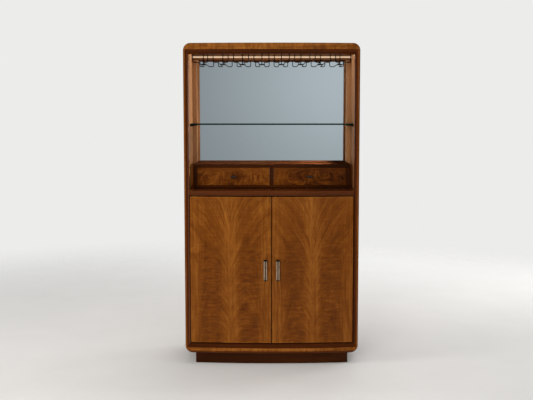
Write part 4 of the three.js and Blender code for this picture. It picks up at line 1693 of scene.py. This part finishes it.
@dataclass
class DrawerUnit:
    """Two-drawer unit that stands on the ledge, with its drawers and half-moon knobs."""

    finishes: Finishes
    half: float = 519.0
    front_y: float = 220.0
    back_y: float = 437.7
    floor: float = 1129.0
    low: float = 1144.0
    high: float = 1263.0
    top: float = 1284.0
    side: float = 25.0
    divider: float = 12.0
    front_thickness: float = 18.0
    front_gap: float = 1.5
    box_half: float = 240.0
    box_back: float = 429.7
    box_low: float = 1144.3
    box_high: float = 1242.3
    box_dip: float = 6.0
    wall: float = 10.0
    base_low: float = 8.0
    base_high: float = 14.0
    knob_y: float = 199.7
    knob_height: float = 18.0
    knob_half: float = 20.0
    knob_face: float = 9.0
    knob_dome: float = 3.6
    knob_ease: float = 0.8
    knob_neck: tuple = ((0, 8.5), (4.6, 8.5), (4.6, 15), (5.0, 18.6), (5.0, 20.0), (0, 20.0))
    veneers: tuple = (
        SwirlVeneer("drawer_veneer_left", **tones((56, 21, 0), (92, 46, 7), (128, 74, 22)),
                    middle_x=-0.253, fall=-0.2, eyes=((-0.395, 1.215), (-0.165, 1.218)), seed=3.1),
        # Painted shade: the right drawer has darker tones and a steep fall that darkens it towards
        # the right.
        SwirlVeneer("drawer_veneer_right", **tones((34, 10, 0), (70, 32, 2), (108, 58, 12)),
                    middle_x=0.253, fall=0.8, eyes=((0.115, 1.2), (0.335, 1.225)), seed=7.7,
                    lean=-0.5),
    )

    def carcass(self) -> None:
        """Makes top, bottom, sides and divider."""
        depth, height = (self.front_y, self.back_y), (self.low, self.high)
        for name, low, high in (("bottom", self.floor, self.low), ("top", self.high, self.top)):
            board = eased_board((-self.half, self.half), depth, (low, high), 1.6, (8, 1, 1), 3)
            piece = make_piece(f"unit_{name}_board", board, self.finishes.unit_across,
                               nodes=[f"unit_{name}"])
            # Painted light: the top face takes a paler, lit copy of the unit wood.
            if name == "top":
                refinish(piece, self.finishes.unit_level,
                         lambda normal, centre: normal[:, 2] > 0.9)
        uprights = [("divider_board", "divider", (-self.divider, self.divider))]
        uprights += [(f"side_board_{name}", f"side_{name}",
                      (side * self.half, side * (self.half - self.side))) for name, side in SIDES]
        for name, node, ends in uprights:
            make_piece(f"unit_{name}", eased_board(ends, depth, height), self.finishes.unit_up,
                       nodes=[f"unit_{node}"])

    def walls(self, x: float) -> Shell:
        """A drawer's two side walls and its lower back wall.

        Args:
            x: the drawer's middle.

        Returns:
            The three boards.
        """
        outer, inner = self.box_half, self.box_half - self.wall
        depth = (self.front_y + self.front_thickness, self.box_back)
        boards = [eased_board((x + side * outer, x + side * inner), depth,
                              (self.box_low, self.box_high), 0.8) for _, side in SIDES]
        boards.append(eased_board(
            (x - inner, x + inner), (self.box_back - self.wall, self.box_back),
            (self.box_low, self.box_high - self.box_dip), 0.8))
        return joined(boards)

    def drawer(self, name: str, side: int, veneer: SwirlVeneer) -> None:
        """Makes one drawer's front, box, bottom and knob.

        Args:
            name: left or right.
            side: -1 for left, 1 for right.
            veneer: its front's veneer.
        """
        x = side * (self.divider + self.half - self.side) / 2
        half = (self.half - self.side - self.divider) / 2 - self.front_gap
        behind, inner = self.front_y + self.front_thickness, self.box_half - self.wall
        front = eased_board((x - half, x + half), (self.front_y, behind),
                            (self.low + self.front_gap, self.high - self.front_gap),
                            1.5, (6, 1, 2), 3)
        base = eased_board((x - inner, x + inner), (behind, self.box_back - self.wall),
                           (self.box_low + self.base_low, self.box_low + self.base_high), 0.4)
        inside = self.finishes.inside_across
        for piece, node, shell, finish, slot, sharp in (
            ("face", "front", front, veneer.build(), "figured_veneer", SHARP),
            ("walls", "box", self.walls(x), inside, "inside_wood", SHARP),
            ("base", "bottom", base, inside, "inside_wood", SHARP),
            ("pull", "knob", self.knob(x), self.finishes.knob, "dark_bronze", 50),
        ):
            make_piece(f"drawer_{piece}_{name}", shell, finish, f"drawer_{name}",
                       [f"drawer_{node}_{name}"], sharp)

    def knob(self, x: float) -> Shell:
        """A half-moon face, flat below and domed in front, on a flared neck.

        Args:
            x: the knob's middle.

        Returns:
            Face and neck.
        """
        middle = (self.low + self.high) / 2
        low = middle - self.knob_height / 2
        angle = np.linspace(0, math.pi, 25)
        outline = np.stack([low + self.knob_height * np.sin(angle),
                            x + self.knob_half * np.cos(angle)], -1)
        outline = np.concatenate([outline, [[low, x]]])[::-1]
        face = prism(outline, self.knob_y, self.knob_y + self.knob_face, self.knob_dome,
                     self.knob_ease, axis=1, steps=5)
        return face + turned(self.knob_neck, (x, self.knob_y, middle), 1, 20)

    def build(self) -> None:
        """Makes the carcass and both drawers."""
        self.carcass()
        for (name, side), veneer in zip(SIDES, self.veneers):
            self.drawer(name, side, veneer)


@dataclass
class Doors:
    """Two bowed doors with feather-figured veneer, bar pulls and pivot hinges."""

    finishes: Finishes
    inner: float = 2.0
    outer: float = 523.0
    low: float = 145.0
    high: float = 1093.0
    recess: float = 4.0
    back: float = 24.0
    pivot_inset: float = 12.0
    leaf_thickness: float = 3.0
    leaf_width: float = 13.0
    leaf_length: float = 60.0
    joint: float = 0.3
    overrun: float = 5.0
    sliver: float = 0.001
    pin_radius: float = 3.35
    pin_depth: float = 13.0
    pull_x: float = 40.0
    pull_low: float = 555.0
    pull_high: float = 689.0
    pull_half: float = 12.0
    pull_back: float = -28.22
    pull_front: float = -56.22
    bar: float = 9.0
    bar_slim: float = 0.97
    bar_lift: float = 6.0
    bar_drop: float = 4.5
    bar_corner: float = 3.2
    bar_set: float = 0.5
    bar_run: float = 4.0
    channel_half: float = 2.95
    channel_deep: float = 7.0
    groove: tuple = ((-3.0, 0.0), (-2.4, 2.6), (2.4, 2.6), (3.0, 0.0))
    post: float = 15.0
    post_corner: float = 8.0
    post_set: float = 1.6
    post_ease: float = 2.6
    foot_ease: float = 0.4
    end: float = 5.0
    screw_inset: float = 7.5
    screw_head: tuple = (
        (0, 0), (4.0, 0), (3.9, 1.3), (2.8, 2.1), (1.3, 2.3), (1.2, 1.4), (0, 1.2))
    tone: dict = field(default_factory=lambda: tones((64, 27, 2), (99, 52, 8), (133, 80, 26)))

    def pockets(self, side: int) -> list[Shell]:
        """Cutters for the two leaves and the two pin holes of one door.

        The pivot stands where the bow's turn is the arc sine of x over its radius. A leaf's
        pocket is a slot with round ends, turned by that much.

        Args:
            side: -1 for left, 1 for right.

        Returns:
            The cutters.
        """
        pivot_x = self.outer - self.pivot_inset
        pivot_y = float(BOW.y(pivot_x, (self.recess + self.back) / 2))
        turn = math.asin(pivot_x / BOW.radius)
        radius, run = self.leaf_width / 2 + self.joint, self.leaf_length - self.leaf_width
        half = np.linspace(-math.pi / 2, math.pi / 2, 13)
        near = np.stack([radius * np.cos(half), radius * np.sin(half)], -1)
        far = np.stack([-radius * np.cos(half) - run, -radius * np.sin(half)], -1)
        spin = np.array([[math.cos(turn), math.sin(turn)], [-math.sin(turn), math.cos(turn)]])
        outline = np.concatenate([near, far]) @ spin + np.array([pivot_x, pivot_y])
        if side < 0:
            outline = (outline * np.array([-1, 1]))[::-1]
        sunk = self.leaf_thickness + self.joint
        top, foot = self.high + self.overrun, self.low - self.overrun
        cuts = [prism(outline, start, end, self.sliver, self.sliver, steps=1)
                for start, end in ((self.high - sunk, top), (foot, self.low + sunk))]
        for start, end in ((self.high - self.pin_depth, top), (foot, self.low + self.pin_depth)):
            profile = [(0, start), (self.pin_radius, start), (self.pin_radius, end), (0, end)]
            cuts.append(turned(profile, (side * pivot_x, pivot_y, 0), 2, 32))
        return cuts

    def panel(self, name: str, side: int) -> None:
        """Makes one door: a board bent to the bow, with its hinge pockets.

        Args:
            name: left or right.
            side: -1 for left, 1 for right.
        """
        board = eased_board((side * self.inner, side * self.outer), (self.recess, self.back),
                            (self.low, self.high), 1.5, (28, 1, 24), 3).placed(BOW.bend)
        veneer = FeatherVeneer(f"door_veneer_{name}", side * (self.inner + self.outer) / 2 * MM,
                               **self.tone, seed=1.3 if side < 0 else 4.9)
        piece = make_piece(f"door_board_{name}", board, veneer.build(),
                           f"door_{name}", [f"door_{name}"])
        carve(piece, self.pockets(side))

    def pull_bar(self, x: float) -> Shell:
        """A pull's bar: a section with a channel in front, rounded towards both ends.

        Each end is a quarter of an ellipse: at share t of it the section stands end t
        squared from the tip and falls back by end (1 - root(1 - (1 - t) squared)).

        Args:
            x: the pull's middle.

        Returns:
            The closed shell.
        """
        half, corner = self.pull_half, self.bar_corner
        turn = np.linspace(0, math.pi / 2, 5)
        right = np.stack([half - corner + corner * np.sin(turn),
                          corner - corner * np.cos(turn)], -1)
        left = right[::-1] * np.array([-1, 1])
        behind = np.array([[half, self.bar], [-half, self.bar]])
        section = np.concatenate([left, self.groove, right, behind])
        section = section * np.array([self.bar_slim, 1.0])
        share = np.linspace(0, 1, 5)[:, None]
        low, high = self.pull_low + self.bar_lift, self.pull_high - self.bar_drop
        tip, straight = low + self.end * share ** 2, self.end + self.bar_run
        fall = 1 - np.sqrt(1 - (1 - share) ** 2)
        z = np.concatenate([tip, [[low + straight], [high - straight]], (low + high) - tip[::-1]])
        drop = np.concatenate([fall, [[0.0], [0.0]], fall[::-1]]) * self.end
        rings = np.empty((len(z), len(section), 3))
        rings[..., 0] = x + section[:, 0]
        back = np.minimum(section[:, 1] + drop, self.bar)
        rings[..., 1] = self.pull_front + self.bar_set + back
        rings[..., 2] = z
        return loft(rings)

    def pull_post(self, x: float, foot: float, sign: int) -> Shell:
        """A pull's post: a block whose outer end has round corners.

        Args:
            x: the pull's middle.
            foot: height of the post's outer end.
            sign: 1 if the post runs up from there, -1 if it runs down.

        Returns:
            The closed shell.
        """
        turn = np.linspace(0, math.pi / 2, 5)
        half, corner = self.pull_half, self.post_corner
        arc_x = half - corner + corner * np.sin(turn)
        arc_z = foot + sign * (corner - corner * np.cos(turn))
        top = foot + sign * self.post
        outline = np.concatenate([
            np.stack([arc_z, x + arc_x], -1), [[top, x + half], [top, x - half]],
            np.stack([arc_z, x - arc_x], -1)[::-1]])
        return prism(outline[::-sign], self.pull_front + self.post_set, self.pull_back,
                     self.post_ease, self.foot_ease, axis=1)

    def pull(self, name: str, side: int) -> None:
        """Makes one pull: a pewter bar with a dark channel, on two dark posts, and its screws.

        Args:
            name: left or right.
            side: -1 for left, 1 for right.
        """
        x, body = side * self.pull_x, f"door_{name}"
        bar = make_piece(f"pull_bar_{name}", self.pull_bar(x), self.finishes.pewter,
                         body, [f"door_pull_{name}"], sharp=28)
        deep = (self.pull_front - ORIGIN_Y + self.channel_deep) * MM
        refinish(bar, self.finishes.bronze, lambda normal, centre: (
            (np.abs(centre[:, 0] - x * MM) < self.channel_half * MM) & (centre[:, 1] < deep)))
        posts = [self.pull_post(x, self.pull_low, 1), self.pull_post(x, self.pull_high, -1)]
        make_piece(f"pull_posts_{name}", joined(posts), self.finishes.bronze, body)
        back_y = float(BOW.y(self.pull_x, self.back))
        screws = [turned(self.screw_head, (x, back_y, z), 1, 16)
                  for z in (self.pull_low + self.screw_inset, self.pull_high - self.screw_inset)]
        make_piece(f"pull_screws_{name}", joined(screws), self.finishes.steel, body)

    def build(self) -> None:
        """Makes both doors with their pulls and hinges."""
        for name, side in SIDES:
            self.panel(name, side)
            self.pull(name, side)
            for end in ("top", "bottom"):
                for part, body in (("case", "case"), ("door", f"door_{name}")):
                    cad_copy(f"hinge_{part}_leaf_{end}_{name}", self.finishes.brass, body)


@dataclass
class Cupboard:
    """What the doors hide: one shelf and the catch."""

    finishes: Finishes
    half: float = 541.0
    shelf_front_y: float = 62.0
    shelf_back_y: float = 445.0
    shelf_low: float = 620.0
    shelf_high: float = 639.0
    catch_half: float = 45.0
    catch_depth: float = 14.0
    catch_low: float = 1084.0
    catch_high: float = 1098.0
    door_back: float = 24.0
    gap: float = 1.0
    magnet_x: float = 24.0
    magnet: tuple = ((0, 0.4), (4.6, 0.4), (5, 0.1), (5, -0.5), (4.6, -0.8), (0, -0.8))

    def build(self) -> None:
        """Makes the shelf and the catch, whose two magnets face the doors."""
        shelf = eased_board((-self.half, self.half), (self.shelf_front_y, self.shelf_back_y),
                            (self.shelf_low, self.shelf_high), 1.5, (8, 1, 1))
        make_piece("cupboard_shelf", shelf, self.finishes.inside_across,
                   nodes=["inner_shelf"])
        front = float(BOW.y(self.catch_half, self.door_back)) + self.gap
        catch = eased_board((-self.catch_half, self.catch_half), (front, front + self.catch_depth),
                            (self.catch_low, self.catch_high), 2.0, steps=3)
        make_piece("catch_block", catch, self.finishes.bronze, nodes=["door_catch"])
        middle = (self.catch_low + self.catch_high) / 2
        magnets = [turned(self.magnet, (side * self.magnet_x, front, middle), 1, 20)
                   for _, side in SIDES]
        make_piece("catch_magnets", joined(magnets), self.finishes.steel)


@dataclass(frozen=True)
class Lamp:
    """A soft rectangular lamp that faces a point; reflections show the world instead."""

    name: str
    place: tuple
    target: tuple
    size: tuple
    watts: float
    colour: tuple
    spread: float = 180.0

    def build(self) -> None:
        """Puts the lamp into the scene."""
        light = bpy.data.lights.new(self.name, "AREA")
        light.shape = "RECTANGLE"
        light.size, light.size_y = self.size
        light.energy = self.watts
        light.color = self.colour
        light.spread = math.radians(self.spread)
        lamp = put(self.name, light)
        lamp.visible_camera = lamp.visible_transmission = lamp.visible_glossy = False
        lamp.location = self.place
        x, y, z = np.array(self.target, float) - np.array(self.place, float)
        lamp.rotation_euler = (math.atan2(math.hypot(x, y), -z), 0, math.atan2(-x, y))


WARM = (1.0, 0.93, 0.86)
LAMPS = (
    Lamp("key", (-1.9, -6.2, 1.9), (0, 0, 1.1), (2.6, 2.6), 243, (1.0, 0.97, 0.93)),
    Lamp("fill", (1.5, -6.2, 1.6), (0, 0, 1.0), (2.4, 2.4), 92, (1.0, 0.98, 0.96)),
    Lamp("left", (-5.2, -1.6, 1.6), (0, 0, 1.1), (2.0, 3.0), 152, (1.0, 0.96, 0.92)),
    Lamp("right", (4.6, 2.6, 1.8), (0, 0, 1.1), (2.0, 3.0), 110, (1.0, 0.98, 0.96)),
    Lamp("above", (0.3, -0.4, 4.6), (0, 0, 1.2), (3.0, 3.0), 46, (1.0, 0.99, 0.98)),
    Lamp("rear", (1.0, 5.0, 2.6), (0, 0, 1.1), (4.0, 3.0), 120, (1.0, 1.0, 1.0)),
    Lamp("strip", (0.0, (398.0 - ORIGIN_Y) * MM, 2.0), (0, -0.61, 1.4), (0.96, 0.02), 2.6, WARM),
    Lamp("bay", (0.44, 0.12, 1.6), (-0.54, 0.05, 1.42), (0.1, 0.46), 6.2, WARM, 110.0),
    Lamp("gap_left", (-0.5195, 0.12, 1.207), (-0.541, 0.12, 1.207), (0.2, 0.14), 0.034,
         (1.0, 0.56, 0.17)),
    Lamp("gap_right", (0.5195, 0.12, 1.207), (0.541, 0.12, 1.207), (0.2, 0.14), 0.013,
         (1.0, 0.46, 0.1)),
)


@dataclass
class Studio:
    """Pale floor, soft lamps and the camera."""

    shift_px: float = 15.0
    side_px: float = 5.15
    focal_px: float = 851.7
    distance: float = 5.41
    eye: float = 1.647
    pitch: float = 5.08
    frame_width: int = 533
    sensor: float = 36.0
    radii: tuple = (0.4, 1.5, 3.0, 5.0, 8.0, 12.0)
    sides: int = 96
    front_window: tuple = (0.09, -0.995, 0.045)
    left_window: tuple = (-0.87, -0.49, 0.06)

    def floor(self) -> None:
        """A round floor whose rim fades into the background."""
        angle = np.linspace(0, 2 * math.pi, self.sides, endpoint=False)
        radii = np.array(self.radii)[:, None]
        points = np.stack([radii * np.cos(angle), radii * np.sin(angle), 0 * radii * angle], -1)
        faces = [list(range(self.sides))] + grid_faces(len(radii), self.sides, ring=True)
        mesh = bpy.data.meshes.new("studio_floor")
        mesh.from_pydata(points.reshape(-1, 3).tolist(), [], faces)
        recipe = Recipe("studio_floor_paint")
        place = recipe.place()
        x, y, _ = recipe.parts(place)
        mottle = recipe.noise(place, (3, 3, 3), detail=3)
        mesh.materials.append(recipe.finish({
            "Base Color": recipe.mix(mottle, (0.78, 0.775, 0.76, 1), (0.84, 0.835, 0.82, 1)),
            "Roughness": 0.75,
            "Specular IOR Level": 0.2,
            "Alpha": (x * x + y * y).math("SQRT").between(5.5, 1.9),
        }))
        put("studio_floor", mesh)

    def world(self) -> None:
        """Dim even light, and a pale background for the camera.

        Reflections see a cool room that is brighter in front and at the left. Powers of
        the ray's direction times the direction of each window give the glows.
        """
        world = bpy.data.worlds.new("studio_world")
        bpy.context.scene.world = world
        world.use_nodes = True
        world.node_tree.nodes.clear()
        layer = Layer(world.node_tree)
        path = layer.add("LightPath", {}, {}).outputs
        through, camera, glossy, depth = (
            Signal(layer, path[name])
            for name in ("Is Transmission Ray", "Is Camera Ray", "Is Glossy Ray", "Glossy Depth"))
        mirrored = depth.math("MINIMUM", 1.0)
        glossy = glossy.math("MAXIMUM", through * mirrored)
        seen = camera.math("MAXIMUM", through * (1.0 - mirrored))
        direction = layer.node("TexCoord", {}, {}, "Generated")
        facing, left = (
            layer.node("VectorMath", {"operation": "DOT_PRODUCT"}, {0: direction, 1: window},
                       "Value").math("MAXIMUM", 0.0)
            for window in (self.front_window, self.left_window))
        glow = facing ** 16.0 * 0.22 + facing ** 100.0 * 0.194 + left ** 10.0 * 0.65
        room, plain, pale = (
            layer.node("Background", {}, {"Color": colour, "Strength": strength})
            for colour, strength in (((0.88, 1.0, 1.06, 1), 0.1 + glow),
                                     ((0.97, 0.975, 0.98, 1), 0.22), ((0.84, 0.84, 0.83, 1), 1.0)))
        light = layer.node("MixShader", {}, {0: glossy, 1: plain, 2: room})
        light = layer.node("MixShader", {}, {0: seen, 1: light, 2: pale})
        layer.add("OutputWorld", {}, {"Surface": light})

    def camera(self) -> None:
        """The photograph's viewpoint: fitted to edges whose places are known."""
        view = bpy.data.cameras.new("view")
        view.sensor_width = self.sensor
        view.lens = self.focal_px * self.sensor / self.frame_width
        view.shift_x = -self.side_px / self.frame_width
        view.shift_y = -self.shift_px / self.frame_width
        camera = put("view", view)
        camera.location = (0.0, -self.distance - ORIGIN_Y * MM, self.eye)
        camera.rotation_euler = (math.radians(90 - self.pitch), 0, 0)
        bpy.context.scene.camera = camera

    def build(self) -> None:
        """Sets up floor, world, camera and lamps."""
        self.floor()
        self.world()
        self.camera()
        for lamp in LAMPS:
            lamp.build()
        bpy.context.scene.view_settings.view_transform = "Standard"


def main() -> None:
    """Builds the armoire, sub-assembly by sub-assembly, then its studio."""
    logging.basicConfig(level=logging.INFO, format="%(name)s: %(message)s")
    finishes = Finishes()
    for assembly in (Case, FrontFrame, Plinth, Ledge, BackAndMirror, GlassShelf, StemwareRack,
                     DrawerUnit, Doors, Cupboard):
        assembly(finishes).build()
        log.info("%s is built", assembly.__name__)
    Studio().build()


if __name__ == "__main__":
    main()
